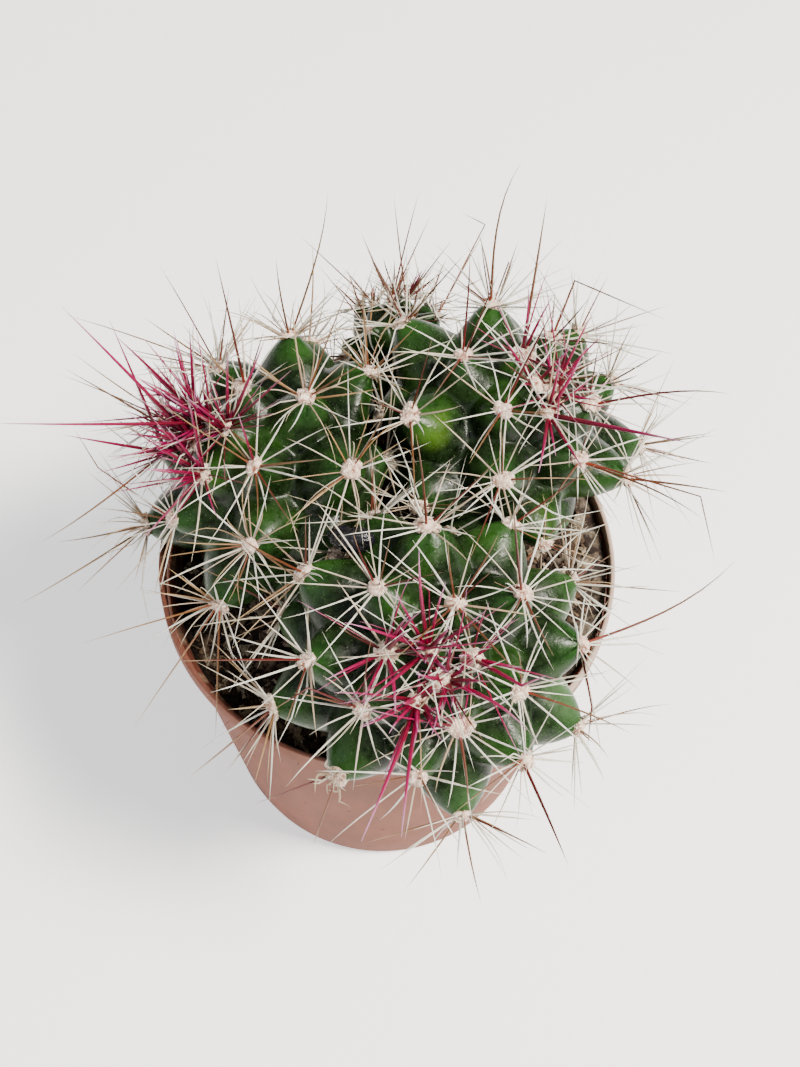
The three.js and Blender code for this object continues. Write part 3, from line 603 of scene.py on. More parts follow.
# --- Soil --------------------------------------------------------------------
# Dry peat mix, filled loose to just under the rim and higher on the right, and
# pressed down where the heads lie on it. It shows dark through the drain holes.
SOIL_LEVEL = 82 * MM
SOIL_SLOPE = 0.05
SOIL_LUMPS = (0.9 * MM, 26 * MM)
SOIL_CLODS = (0.55 * MM, 5 * MM)
# On the right the soil banks up and spreads out under the rim's collar: how
# much, from how far out, and over what width.
SOIL_BANK = (4.2 * MM, 25 * MM, 20 * MM)
SOIL_SPREAD = (0.045, 36 * MM, 11 * MM)
SOIL_PRESSED_TO = FLESH_FOOT - 4 * MM
SOIL_PRESS_SHARE = 1.02
SOIL_SHOULDER = 0.5 * MM
SOIL_FOOT_INSET = 2 * MM
SOIL_RINGS = 80
SOIL_STEPS = 220
SOIL_SEED = 5
BARE_EDGE = 1.5 * MM
WAVES_AN_OCTAVE = 5


def rough_waves(x, y, size, seed, octaves):
    """A lumpy height field from -1 to 1 whose largest lumps have the given size."""
    draw = np.random.default_rng(seed)
    total = np.zeros_like(x)
    for octave in range(octaves):
        for _ in range(WAVES_AN_OCTAVE):
            turned = draw.uniform(0, 2 * math.pi)
            wave = 2 * math.pi / size * 2 ** octave * draw.uniform(0.7, 1.3)
            shift = draw.uniform(0, 2 * math.pi)
            across = x * math.cos(turned) + y * math.sin(turned)
            total += np.sin(wave * across + shift) / 2 ** octave
    return total / WAVES_AN_OCTAVE


def soil_height(x, y):
    lumps = SOIL_LUMPS[0] * rough_waves(x, y, SOIL_LUMPS[1], SOIL_SEED, 2)
    clods = SOIL_CLODS[0] * rough_waves(x, y, SOIL_CLODS[1], SOIL_SEED + 1, 4)
    height, start, width = SOIL_BANK
    return SOIL_LEVEL + SOIL_SLOPE * x + lumps + clods + height * eased((x - start) / width)


def soil_mesh():
    """The soil's top, lumpy and pressed down under the heads, with its side."""
    top_radius, low_radius = (
        wall_radius(z) - WALL - CLEARANCE for z in (SOIL_LEVEL, 2 * FOOT_ROUND))
    turns = np.linspace(0, 2 * math.pi, SOIL_STEPS, endpoint=False)
    rings = np.linspace(0, 1, SOIL_RINGS + 1)[1:]
    out, angle = np.meshgrid(rings * top_radius, turns, indexing="ij")
    x, y = out * np.cos(angle), out * np.sin(angle)
    z = soil_height(x, y)
    reach, start, width = SOIL_SPREAD
    spread = 1 + reach * eased((x - start) / width)
    top = np.stack([x * spread, y * spread, z], axis=-1).reshape(-1, 3)
    covered = np.zeros(len(top), bool)
    for head in heads.values():
        ways, share = head.way_to(top)
        pressed = SOIL_PRESS_SHARE * head.tucked_share(ways)
        under = share < pressed
        covered |= under
        drop = np.where(under, (pressed - share) * head.rise, 0)
        top[:, 2] = np.maximum(top[:, 2] - drop, SOIL_PRESSED_TO)
    foot_z = FLOOR_THICKNESS + CLEARANCE
    shoulder = np.minimum(top[-SOIL_STEPS:, 2], POT_HEIGHT - COLLAR_HEIGHT) - SOIL_SHOULDER
    low = [(wall_radius(shoulder) - WALL - CLEARANCE, shoulder), (low_radius, 2 * FOOT_ROUND),
           (FOOT_RADIUS - FOOT_ROUND - SOIL_FOOT_INSET, foot_z)]
    sides = [np.stack([r * np.cos(turns), r * np.sin(turns), h + 0 * turns], axis=-1)
             for r, h in low]
    points = [[0, 0, SOIL_PRESSED_TO]] + top.tolist() + np.vstack(sides).tolist()
    points += [[0, 0, foot_z]]
    n = SOIL_STEPS
    faces = [(0, 1 + j, 1 + (j + 1) % n) for j in range(n)]
    for i in range(SOIL_RINGS + len(low) - 1):
        a, b = 1 + i * n, 1 + (i + 1) * n
        faces += [(a + j, b + j, b + (j + 1) % n, a + (j + 1) % n) for j in range(n)]
    last, pole = 1 + (SOIL_RINGS + len(low) - 1) * n, len(points) - 1
    faces += [(last + (j + 1) % n, last + j, pole) for j in range(n)]
    mesh = bpy.data.meshes.new("soil_bed")
    mesh.from_pydata(points, [], faces)
    bare = np.zeros(len(points))
    inside = np.hypot(top[:, 0], top[:, 1]) < top_radius - BARE_EDGE
    bare[1:1 + len(top)] = ~covered & inside
    set_floats(mesh, "bare", bare)
    mesh.shade_smooth()
    return mesh


def peat():
    """Dry peat and composted bark: near-black brown crumbs with patches of paler dust, which are
    painted in stronger towards the right as painted light."""
    material, tree = start_material("dry peat and composted bark")
    place = add_node(tree, "ShaderNodeTexCoord").outputs["Object"]
    crumb = add_node(tree, "ShaderNodeTexNoise", {
        "Vector": place, "Scale": 1 / (1.6 * MM), "Detail": 8, "Roughness": 0.7})
    brown = coloured_by(add_node(tree, "ShaderNodeValToRGB", {"Fac": crumb.outputs["Fac"]}),
                        (0.35, "#0f0a08"), (0.55, "#2a1c14"), (0.75, "#54402f"))
    # From left to right the pale patches grow from none to full: painted light on the soil where the
    # light falls.
    across = add_node(tree, "ShaderNodeSeparateXYZ", {0: place}).outputs["X"]
    lit_from_right = add_node(tree, "ShaderNodeMapRange", {
        "Value": across, "From Min": 5 * MM, "From Max": 40 * MM, "To Max": 1.0})
    clod = add_node(tree, "ShaderNodeTexNoise", {
        "Vector": place, "Scale": 1 / (4.5 * MM), "Detail": 5, "Roughness": 0.7})
    patchy = add_node(tree, "ShaderNodeMapRange", {
        "Value": clod.outputs["Fac"], "From Min": 0.46, "From Max": 0.64, "To Max": 0.62})
    dusted = add_node(tree, "ShaderNodeMath", {0: lit_from_right.outputs[0], 1: patchy.outputs[0]},
                      operation="MULTIPLY")
    pale = add_node(tree, "ShaderNodeMix", {0: 1.0, 6: brown, 7: linear("#8f8272")},
                    data_type="RGBA", blend_type="ADD")
    dust_and_light = add_node(tree, "ShaderNodeMix", {
        0: dusted.outputs[0], 6: brown, 7: pale.outputs[2]}, data_type="RGBA")
    relief = add_node(tree, "ShaderNodeBump", {
        "Height": crumb.outputs["Fac"], "Strength": 0.9, "Distance": 0.8 * MM})
    return set_shader(material, {
        "Base Color": dust_and_light.outputs[2], "Roughness": 0.95, "Normal": relief.outputs["Normal"]})


soil = link_object("soil_bed", soil_mesh())
soil.data.materials.append(peat())
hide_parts("soil")
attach(soil, "root")


# --- Areole wool -------------------------------------------------------------
# Each tubercle bears one areole on its tip: a low felt cushion of short matted
# wool, cream with a pink cast.
WOOL_RADIUS = 2.5 * MM
WOOL_HEIGHT = 1.2 * MM
WOOL_LIFT = 0.15
WOOL_ROOM = 1.4 * MM
TYPICAL_GIRTH = 35 * MM
# How far out from a head's middle its highest tubercle can reach.
FARTHEST_SKIN = 1.06
LOWEST_SPINES = math.radians(112)
LOWEST_SPINY_SHARE = 0.72
LOCK_LENGTH = 1.7 * MM
LOCK_RADIUS = 0.23 * MM
LOCK_SIZES = (0.6, 1.35)
LOCK_BOW = 2.6
LOCK_TURNS = ((-0.9, -0.9, -3.1), (0.9, 0.9, 3.1))
LOCKS_PER_SQUARE_MM = 1.7
CUSHION_SIZES = (0.75, 1.1)
CUSHION_LOBES = 0.13
CUSHION_ROUGHNESS = 0.12
CUSHION_SEED = 4
LOCK_SEED = 3
LOCK_SHADE_SEED = 9


class Seat:
    """The tip of one tubercle, where its wool and its spines stand."""

    def __init__(self, head, number):
        way = head.tips[number]
        share = head.skin_share(way[None])[0]
        self.head, self.number, self.share = head, number, share
        self.polar = head.polar[number]
        self.tip = head.place(way[None], np.array([share]))[0]
        slant = way / np.array([head.girth, head.girth, head.rise])
        self.normal = unit(slant @ np.stack([head.across, head.along, head.axis]))
        self.up = unit(head.axis - self.normal * (head.axis @ self.normal))
        self.side = np.cross(self.normal, self.up)
        self.scale = head.girth / TYPICAL_GIRTH


def is_blocked(points, own, room):
    """Whether any of the points lies in the pot, the soil or another head."""
    out = np.hypot(points[:, 0], points[:, 1])
    low = points[:, 2] < POT_HEIGHT + room
    inside = out < RIM_RADIUS + room
    near_wall = out > wall_radius(points[:, 2]) - WALL - room
    near_soil = points[:, 2] < SOIL_LEVEL + SOIL_SLOPE * points[:, 0] + 2 * room
    if np.any(low & inside & (near_wall | near_soil)):
        return True
    for head in heads.values():
        if head is not own:
            ways, share = head.way_to(points)
            close = share < FARTHEST_SKIN
            if np.any(share[close] < head.skin_share(ways[close]) + room / head.rise):
                return True
    return False


def wool_cushions(chosen, name):
    """Low lumpy cushions, one on each chosen tubercle."""
    shape = bmesh.new()
    draw = np.random.default_rng(CUSHION_SEED)
    for seat in chosen:
        radius = WOOL_RADIUS * seat.scale * draw.uniform(*CUSHION_SIZES)
        waves = draw.uniform(-2, 2, (3, 4))
        start = len(shape.verts)
        bmesh.ops.create_icosphere(shape, subdivisions=2, radius=1)
        shape.verts.ensure_lookup_table()
        for vert in shape.verts[start:]:
            lobes = np.sin(waves[:, :3] @ np.array(vert.co) * 1.6 + waves[:, 3]).sum()
            lump = 1 + CUSHION_LOBES * lobes + CUSHION_ROUGHNESS * draw.uniform(-1, 1)
            x, y, z = np.array(vert.co) * lump
            spot = seat.tip + radius * (x * seat.side + y * 0.92 * seat.up)
            vert.co = spot + seat.normal * (WOOL_HEIGHT * (z + WOOL_LIFT))
    mesh = finished_mesh(shape, name)
    mesh.shade_smooth()
    return mesh


def tree_with(name, sockets):
    """An empty geometry tree with its input node's outputs, by their names."""
    tree = bpy.data.node_groups.new(name, "GeometryNodeTree")
    for way in ("INPUT", "OUTPUT"):
        tree.interface.new_socket("Geometry", in_out=way, socket_type="NodeSocketGeometry")
    for label, kind in sockets:
        tree.interface.new_socket(label, in_out="INPUT", socket_type="NodeSocket" + kind)
    return tree, tree.nodes.new("NodeGroupInput").outputs


def planted(tree, points, shape, turns, scale, seed, shade_seed):
    """Sets a shape on every point, each turned at random between two limits and
    given a shade of its own."""
    spread = add_node(tree, "FunctionNodeRandomValue", {0: turns[0], 1: turns[1], "Seed": seed},
                      data_type="FLOAT_VECTOR")
    tilt = add_node(tree, "FunctionNodeEulerToRotation", {"Euler": spread.outputs[0]})
    stand = add_node(tree, "FunctionNodeRotateRotation", {
        "Rotation": points["Rotation"], "Rotate By": tilt.outputs[0]}, rotation_space="LOCAL")
    copies = add_node(tree, "GeometryNodeInstanceOnPoints", {
        "Points": points["Points"], "Instance": shape, "Rotation": stand.outputs[0],
        "Scale": scale})
    shade = add_node(tree, "FunctionNodeRandomValue", {2: 0.0, 3: 1.0, "Seed": shade_seed})
    return add_node(tree, "GeometryNodeStoreNamedAttribute", {
        "Geometry": copies.outputs[0], "Name": "shade", "Value": shade.outputs[1]},
        data_type="FLOAT", domain="INSTANCE").outputs[0]


def close_tree(tree, geometry, finish):
    """Gives a tree's geometry its material, and puts it out."""
    done = add_node(tree, "GeometryNodeSetMaterial", {"Geometry": geometry, "Material": finish})
    add_node(tree, "NodeGroupOutput", {"Geometry": done.outputs[0]})
    return tree


def run_tree(piece, tree, values):
    """Runs a geometry tree on a piece with the given inputs, and applies it."""
    modifier = piece.modifiers.new(tree.name, "NODES")
    modifier.node_group = tree
    for item in tree.interface.items_tree:
        if item.item_type == "SOCKET" and item.in_out == "INPUT" and item.name in values:
            modifier[item.identifier] = values[item.name]
    return applied(piece)


def wool_tree():
    """Sets short bent locks of wool all over the cushions."""
    tree, given = tree_with("tease out wool", [
        ("Density", "Float"), ("Length", "Float"), ("Radius", "Float"), ("Seed", "Int"),
        ("Wool", "Material")])
    points = add_node(tree, "GeometryNodeDistributePointsOnFaces", {
        "Mesh": given["Geometry"], "Density": given["Density"], "Seed": given["Seed"]})
    cone = add_node(tree, "GeometryNodeMeshCone", {
        "Vertices": 4, "Side Segments": 3, "Radius Top": 0.12, "Radius Bottom": 1.0,
        "Depth": 1.0})
    place = add_node(tree, "GeometryNodeInputPosition")
    height = add_node(tree, "ShaderNodeSeparateXYZ", {0: place.outputs[0]}).outputs["Z"]
    bow = add_node(tree, "ShaderNodeMath", {0: height, 1: 2.0}, operation="POWER")
    lean = add_node(tree, "ShaderNodeMath", {0: bow.outputs[0], 1: LOCK_BOW}, operation="MULTIPLY")
    shift = add_node(tree, "ShaderNodeCombineXYZ", {"X": lean.outputs[0]})
    lock = add_node(tree, "GeometryNodeSetPosition", {
        "Geometry": cone.outputs["Mesh"], "Offset": shift.outputs[0]})
    size = add_node(tree, "FunctionNodeRandomValue", {
        2: LOCK_SIZES[0], 3: LOCK_SIZES[1], "Seed": given["Seed"]})
    extent = add_node(tree, "ShaderNodeCombineXYZ", {
        "X": given["Radius"], "Y": given["Radius"], "Z": given["Length"]})
    scale = add_node(tree, "ShaderNodeVectorMath", {
        0: extent.outputs[0], "Scale": size.outputs[1]}, operation="SCALE")
    locks = planted(tree, points.outputs, lock.outputs["Geometry"], LOCK_TURNS, scale.outputs[0],
                    given["Seed"], LOCK_SHADE_SEED)
    joined = add_node(tree, "GeometryNodeJoinGeometry", {0: given["Geometry"]})
    tree.links.new(locks, joined.inputs[0])
    real = add_node(tree, "GeometryNodeRealizeInstances", {0: joined.outputs[0]})
    smooth = add_node(tree, "GeometryNodeSetShadeSmooth", {0: real.outputs[0]})
    return close_tree(tree, smooth.outputs[0], given["Wool"])


def areole_wool():
    """Matted plant wool: dry, without gloss, cream lit through with pink."""
    material, tree = start_material("cream areole wool")
    place = add_node(tree, "ShaderNodeTexCoord").outputs["Object"]
    shade = add_node(tree, "ShaderNodeAttribute", attribute_name="shade").outputs["Fac"]
    tuft = add_node(tree, "ShaderNodeTexNoise", {
        "Vector": place, "Scale": 1 / (1.2 * MM), "Detail": 3})
    mixed = add_node(tree, "ShaderNodeMath", {0: shade, 1: tuft.outputs["Fac"]}, operation="ADD")
    cream = coloured_by(add_node(tree, "ShaderNodeValToRGB", {"Fac": mixed.outputs[0]}),
                        (0.3, "#74402e"), (0.6, "#e6cbb6"), (1.0, "#fdf4e6"))
    return set_shader(material, {
        "Base Color": cream, "Roughness": 0.95, "Sheen Weight": 0.3, "Specular IOR Level": 0.2})


seats = []
for head in heads.values():
    for number in range(len(head.tips)):
        seat = Seat(head, number)
        outside = seat.polar < LOWEST_SPINES and seat.share > LOWEST_SPINY_SHARE
        above_it = (seat.tip + 2 * MM * seat.normal)[None]
        if outside and not is_blocked(above_it, head, WOOL_ROOM):
            seats.append(seat)
wool_finish = areole_wool()
wool_growth = wool_tree()
for head in heads.values():
    own = [seat for seat in seats if seat.head is head]
    wool = link_object(head.name + "_wool", wool_cushions(own, head.name + "_wool"))
    run_tree(wool, wool_growth, {
        "Density": LOCKS_PER_SQUARE_MM / MM ** 2, "Length": LOCK_LENGTH, "Radius": LOCK_RADIUS,
        "Seed": LOCK_SEED, "Wool": wool_finish})
    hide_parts(head.name)
    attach(wool, "root")


# --- Spines ------------------------------------------------------------------
# Stiff horny needles that grew from the areoles: a star of white radials, one
# to four darker centrals, and in the crowns tufts of young crimson ones. Old
# areoles also trail fine straw-coloured hairs.

# The spines that stand out are set one by one: areole number, lean from the
# skin's normal and turn from the crown in degrees, then length, root radius,
# and for a bowed one its sideways and downward bow, in mm.
YOUNG_SPINES = {
    "head_front": [
        (0, 40, -162, 9, 0.44), (0, 40, 102, 14, 0.37), (0, 48, -162, 20, 0.53, 2, 3),
        (0, 58, -65, 7, 0.44), (0, 60, 1, 6, 0.4), (1, 47, -65, 21, 0.46), (1, 48, 20, 6, 0.44),
        (1, 48, 108, 17, 0.4), (1, 48, 174, 25, 0.48), (1, 49, -164, 17, 0.44),
        (1, 49, 155, 17, 0.4), (1, 50, -127, 21, 0.44), (2, 25, -160, 36, 0.49),
        (2, 25, 180, 40, 0.49), (2, 36, -115, 11, 0.37), (2, 45, 133, 15, 0.37),
        (2, 55, 99, 19, 0.4), (2, 64, 25, 7, 0.44), (3, 42, -154, 6, 0.4),
        (3, 60, 147, 18, 0.3), (3, 63, -52, 8, 0.35), (4, 60, 29, 29, 0.3),
        (5, 63, 42, 24, 0.28), (5, 64, 21, 9, 0.32),
    ],
    "head_left": [
        (0, 25, -177, 13, 0.44), (0, 30, -25, 48, 0.44, 4, 1), (0, 34, -149, 22, 0.44),
        (0, 34, 135, 11, 0.35), (1, 20, 45, 42, 0.51), (1, 30, 64, 14, 0.44),
        (1, 33, 139, 14, 0.48), (1, 44, 170, 18, 0.37), (1, 49, 178, 21, 0.4),
        (2, 37, -136, 21, 0.44), (2, 50, 44, 27, 0.44), (2, 53, -149, 26, 0.4),
        (2, 64, -164, 25, 0.37), (2, 64, 165, 18, 0.26), (2, 64, 176, 21, 0.28),
        (3, 20, 35, 32, 0.48), (3, 35, 162, 14, 0.44), (3, 44, 70, 24, 0.44),
        (3, 55, -118, 24, 0.32), (4, 45, -41, 21, 0.44), (4, 60, 101, 21, 0.3),
        (4, 62, 147, 19, 0.37), (6, 25, -45, 30, 0.4), (6, 44, 36, 34, 0.42),
        (7, 40, -58, 13, 0.35),
    ],
    "head_right": [
        (0, 24, -6, 6, 0.44), (0, 39, -56, 20, 0.31), (0, 41, -80, 12, 0.55),
        (1, 45, 155, 23, 0.32), (1, 50, 163, 16, 0.4), (1, 64, -155, 6, 0.35),
        (2, 22, -74, 10, 0.4), (2, 43, -174, 13, 0.32), (3, 35, -130, 36, 0.6),
        (3, 40, -41, 13, 0.37), (3, 53, 66, 6, 0.44), (3, 59, -165, 19, 0.4),
        (3, 64, 163, 21, 0.44), (3, 64, 177, 13, 0.35), (4, 59, -6, 15, 0.32),
    ],
    "head_back": [],
}
GROWN_SPINES = {
    "head_front": [
        (4, 45, 174, 12, 0.22), (5, 45, 162, 16, 0.31), (6, 20, -30, 28, 0.24),
        (6, 34, 147, 12, 0.24), (6, 40, -141, 15, 0.26), (6, 40, 162, 18, 0.29),
        (6, 52, 46, 26, 0.26), (6, 62, -27, 22, 0.2), (7, 50, 117, 15, 0.24),
        (7, 64, 46, 20, 0.19), (8, 46, 176, 23, 0.27, 0, 3.2), (8, 64, -60, 10, 0.22),
        (9, 20, 60, 26, 0.2), (9, 35, 168, 13, 0.24), (9, 62, 55, 17, 0.19),
        (10, 51, 71, 17, 0.18), (11, 35, -60, 34, 0.34), (11, 60, 46, 17, 0.27),
        (11, 64, -41, 10, 0.19), (11, 64, 7, 13, 0.19), (12, 10, 165, 30, 0.27),
        (12, 50, -69, 15, 0.2), (13, 15, 50, 28, 0.34), (13, 64, 15, 14, 0.24),
        (13, 64, 33, 28, 0.19), (14, 10, -15, 30, 0.27), (16, 60, -172, 43, 0.29, -8, 3.7),
        (17, 47, 65, 14, 0.2), (18, 30, 5, 22, 0.23, 1, 2), (18, 55, -55, 22, 0.23, 0, 2),
        (18, 80, 45, 27, 0.23, 0, 1), (21, 47, 16, 6, 0.2), (21, 50, -135, 26, 0.18, 2, 2),
    ],
    "head_left": [
        (5, 20, 180, 32, 0.29), (5, 41, 152, 17, 0.22), (7, 45, 0, 26, 0.2),
        (7, 64, -149, 21, 0.27), (7, 64, 146, 15, 0.2), (7, 64, 166, 24, 0.23),
        (8, 40, -15, 26, 0.19), (8, 43, 107, 19, 0.2), (8, 45, -158, 29, 0.19),
        (9, 60, 95, 18, 0.2), (10, 38, -136, 30, 0.2), (10, 45, -14, 12, 0.19),
        (10, 45, 170, 22, 0.2), (12, 45, 144, 13, 0.2), (12, 55, -135, 20, 0.26),
        (12, 58, 60, 19, 0.19), (13, 34, 91, 42, 0.24, 4.7, 0.5), (13, 30, 45, 24, 0.24),
        (14, 25, -155, 34, 0.27, 3, 1), (14, 50, -69, 28, 0.2), (15, 40, -92, 19, 0.2),
        (1, 39, 105, 31, 0.3), (6, 51, -88, 41, 0.27, -1.2, -3.4), (14, 40, 145, 26, 0.27),
        (15, 64, 54, 17, 0.2), (16, 35, -60, 38, 0.22, 2, 1), (17, 5, 130, 32, 0.22, 0, 1),
        (17, 30, -135, 30, 0.22, 0, 1), (17, 35, 15, 34, 0.22, 0, 1),
    ],
    "head_right": [
        (4, 30, 150, 34, 0.34), (5, 24, 178, 32, 0.3, 2.3, 3.5), (5, 38, -21, 17, 0.2),
        (5, 64, 3, 15, 0.18), (6, 35, 35, 28, 0.29), (6, 50, -56, 13, 0.24),
        (6, 64, -154, 20, 0.22), (7, 25, -95, 12, 0.2), (7, 35, -10, 24, 0.23),
        (7, 51, 38, 19, 0.23), (8, 25, -165, 34, 0.27, 4, 0), (8, 46, 7, 10, 0.18),
        (8, 64, 104, 21, 0.23), (9, 15, 20, 26, 0.2), (9, 28, 93, 23, 0.24),
        (9, 62, -20, 20, 0.18), (9, 64, -93, 22, 0.23), (10, 45, 20, 26, 0.23),
        (10, 52, 125, 18, 0.18), (11, 45, -55, 11, 0.23), (11, 50, 38, 14, 0.16),
        (11, 51, 179, 23, 0.2), (12, 13, -63, 38, 0.27, -6.2, 2.7), (12, 25, -72, 19, 0.19),
        (13, 5, 90, 24, 0.29), (13, 45, -113, 17, 0.19), (13, 54, 100, 21, 0.19),
        (14, 42, 26, 21, 0.19), (14, 45, 147, 9, 0.2), (14, 64, -91, 29, 0.22),
        (16, 40, -94, 10, 0.19), (16, 57, 111, 19, 0.22), (17, 35, 131, 19, 0.19),
        (17, 64, 6, 27, 0.2), (19, 64, -23, 17, 0.18),
    ],
    "head_back": [
        (0, 20, 90, 26, 0.2), (0, 27, -159, 17, 0.23), (0, 34, 92, 21, 0.2),
        (1, 20, -43, 14, 0.2), (2, 20, -60, 24, 0.2), (2, 35, -178, 17, 0.2),
        (3, 45, 142, 24, 0.2), (6, 44, 62, 19, 0.19), (7, 45, -91, 25, 0.2),
    ],
}
# A few have broken and healed at an angle: areole, then lean, turn and length
# of the first part and of the second, and the root radius.
KINKED_SPINES = {
    "head_front": [(16, 67, 45, 16, 80, 43, 10, 0.22), (7, 50, 110, 13, 56, -178, 8, 0.24)],
    "head_left": [(9, 52, 57, 19, 61, 23, 10, 0.2)],
    "head_right": [
        (7, 24, -169, 13, 70, 48, 24, 0.26), (8, 44, -137, 26, 91, 177, 14, 0.22),
        (12, 55, -96, 8, 78, 104, 6, 0.19), (12, 29, 119, 10, 121, -46, 7, 0.19)],
    "head_back": [(7, 45, -90, 26, 92, 20, 8, 0.2)],
}
# For each head: how much of its spines has faded to straw, what share of the
# spines at its crown is still crimson, how many spines each areole there bears
# beside the listed ones, how many hairs an old areole trails, and from what
# age down the head it does.
STRAW = {"head_front": 0.25, "head_left": 0.85, "head_right": 0.4, "head_back": 0.6}
CRIMSON_SHARE = {"head_front": 0.9, "head_left": 1.0, "head_right": 0.5, "head_back": 0.2}
CROWN_SPINES = {
    "head_front": (5, 9), "head_left": (8, 13), "head_right": (1, 4), "head_back": (3, 6)}
HAIRS = {"head_front": (3, 6), "head_left": (7, 12), "head_right": (3, 6), "head_back": (3, 6)}
HAIRY_AGE = {"head_front": 0.62, "head_left": 0.34, "head_right": 0.55, "head_back": 0.45}
YOUNG_AREOLES = 5
SPINE_ROOT = 1.2 * MM
SPINE_BASE = 0.5 * MM
SPINE_ROOM = 0.6 * MM
SPINE_TRIES = 8
KINKED_SHARE = 0.06
KINK = (0.4, 0.9)
# How stout a spine stays along its length, and how thin its tip is.
STOUT = 2.4
TAPERING = 1.9
TIP_SHARE = 0.06
# Lengths and root radii, leans in degrees, and how far a spine may bow.
RADIALS = (11, 16)
CROWN_RADIALS = (7, 11)
YOUNG_RADIALS = (4, 8)
RADIAL_LENGTH = (10 * MM, 22 * MM)
RADIAL_RADIUS = (0.14 * MM, 0.26 * MM)
RADIAL_BASE = 1.5 * MM
FLAT_LEAN = (60, 78)
STEEP_LEAN = (38, 60)
FLAT_SHARE = 0.7
CENTRALS = 2
CENTRAL_LENGTH = (15 * MM, 26 * MM)
CENTRAL_RADIUS = (0.18 * MM, 0.28 * MM)
CENTRAL_LEAN = (8, 42)
CROWN_LEAN = (8, 52)
YOUNG_LENGTH = (7 * MM, 18 * MM)
YOUNG_RADIUS = (0.36 * MM, 0.56 * MM)
HAIR_LENGTH = (10 * MM, 20 * MM)
HAIR_RADIUS = 0.15 * MM
HAIR_BASE = 1.2 * MM
HAIR_LEAN = (30, 85)
# One areole low on the front head bears a tuft of curled, stunted spines.
CURLED_AREOLE = ("head_front", 15)
CURLED_COUNT = 13
CURLED_LEAN = (10, 75)
CURLED_LENGTH = (4, 9)
CURLED_RADIUS = (0.26, 0.38)
CURLS = ((0.7, 1.5), (0.5, 1.2))


def way_from(seat, lean, turned):
    out = seat.up * math.cos(turned) + seat.side * math.sin(turned)
    return seat.normal * math.cos(lean) + out * math.sin(lean), out


def spine_course(seat, lean, turned, length, base=SPINE_BASE, bend=0.0, droop=0.0, points=5):
    """The points of one spine, from its root under the wool to its tip."""
    forward, out = way_from(seat, lean, turned)
    start = seat.tip + out * base * seat.scale
    aside = np.cross(forward, seat.normal)
    aside /= max(np.linalg.norm(aside), 1e-6)
    t = np.linspace(0, 1, points)[:, None]
    course = start + forward * length * t + aside * bend * t ** 3
    course[:, 2] -= droop * t[:, 0] ** 3
    return np.vstack([start - forward * SPINE_ROOT, course])


def kinked(course, draw, low, high):
    """The same spine, once broken and healed at an angle."""
    bent = course.copy()
    joint = len(course) // 2 + draw.integers(0, 2)
    axis = unit(draw.normal(size=3))
    turn = np.array(Matrix.Rotation(draw.uniform(low, high), 3, Vector(axis)))
    bent[joint:] = bent[joint] + (course[joint:] - course[joint]) @ turn.T
    return bent


class Sheaf:
    """The spines of one kind on one head, gathered as wire courses. They stay
    stout for as long as hold is large, then draw to a sharp tip."""

    def __init__(self, hold):
        self.hold = hold
        self.courses, self.radii, self.tones = [], [], []

    def add(self, course, radius, tone):
        t = np.concatenate([[0], np.linspace(0, 1, len(course) - 1)])
        self.courses.append(course)
        self.radii.append(radius * (TIP_SHARE + (1 - TIP_SHARE) * (1 - t ** self.hold)))
        self.tones.append(np.full(len(course), tone))

    def mesh(self, name):
        mesh = bpy.data.meshes.new(name)
        sizes = [len(course) for course in self.courses]
        starts = np.cumsum([0] + sizes[:-1])
        edges = [(a + i, a + i + 1) for a, n in zip(starts, sizes) for i in range(n - 1)]
        mesh.from_pydata(np.vstack(self.courses).tolist(), edges, [])
        set_floats(mesh, "radius_here", np.concatenate(self.radii))
        set_floats(mesh, "tone", np.concatenate(self.tones))
        set_floats(mesh, "along", np.concatenate([np.linspace(0, 1, n) for n in sizes]))
        return mesh


def place_spine(sheaf, seat, lean, turned, length, radius, tone, draw, **form):
    """Adds a spine, turned and shortened a little at a time until it is clear."""
    for i in range(SPINE_TRIES):
        spread = i / SPINE_TRIES
        tilt = lean + spread * 0.8 * draw.uniform(-1, 0.4)
        swing = turned + spread * draw.uniform(-1, 1)
        course = spine_course(seat, tilt, swing, length * (1 - 0.4 * spread), **form)
        if draw.random() < KINKED_SHARE:
            course = kinked(course, draw, *KINK)
        if not is_blocked(course[1:] * 0.96 + course[:1] * 0.04, seat.head, SPINE_ROOM):
            sheaf.add(course, radius, tone)
            return


def strawness(seat, draw):
    """0 for a spine in its full colour, 1 for one that has faded to straw."""
    age = seat.polar / LOWEST_SPINES
    return min(max(STRAW[seat.head.name] * (0.3 + 1.1 * age) + draw.uniform(-0.3, 0.3), 0), 1)


def set_listed_spines(seat, young, centrals, draw):
    """Sets the spines that the tables list for one areole, and counts them."""
    count = 0
    for table, sheaf in ((YOUNG_SPINES, young), (GROWN_SPINES, centrals)):
        for number, lean, turned, length, radius, *bow in table[seat.head.name]:
            if number == seat.number:
                bend, droop = bow or (draw.uniform(-1, 1), 0)
                course = spine_course(
                    seat, math.radians(lean), math.radians(turned), length * MM,
                    bend=bend * MM, droop=droop * MM, points=9)
                sheaf.add(course, radius * MM, strawness(seat, draw))
                count += 1
    for number, *angles, radius in KINKED_SPINES[seat.head.name]:
        if number == seat.number:
            lean, turned, length, next_lean, next_turned, next_length = angles
            course = spine_course(seat, math.radians(lean), math.radians(turned), length * MM)
            onward, _ = way_from(seat, math.radians(next_lean), math.radians(next_turned))
            reach = np.linspace(0, next_length * MM, 5)[1:, None]
            course = np.vstack([course, course[-1] + onward * reach])
            centrals.add(course, radius * MM, strawness(seat, draw))
            count += 1
    return count


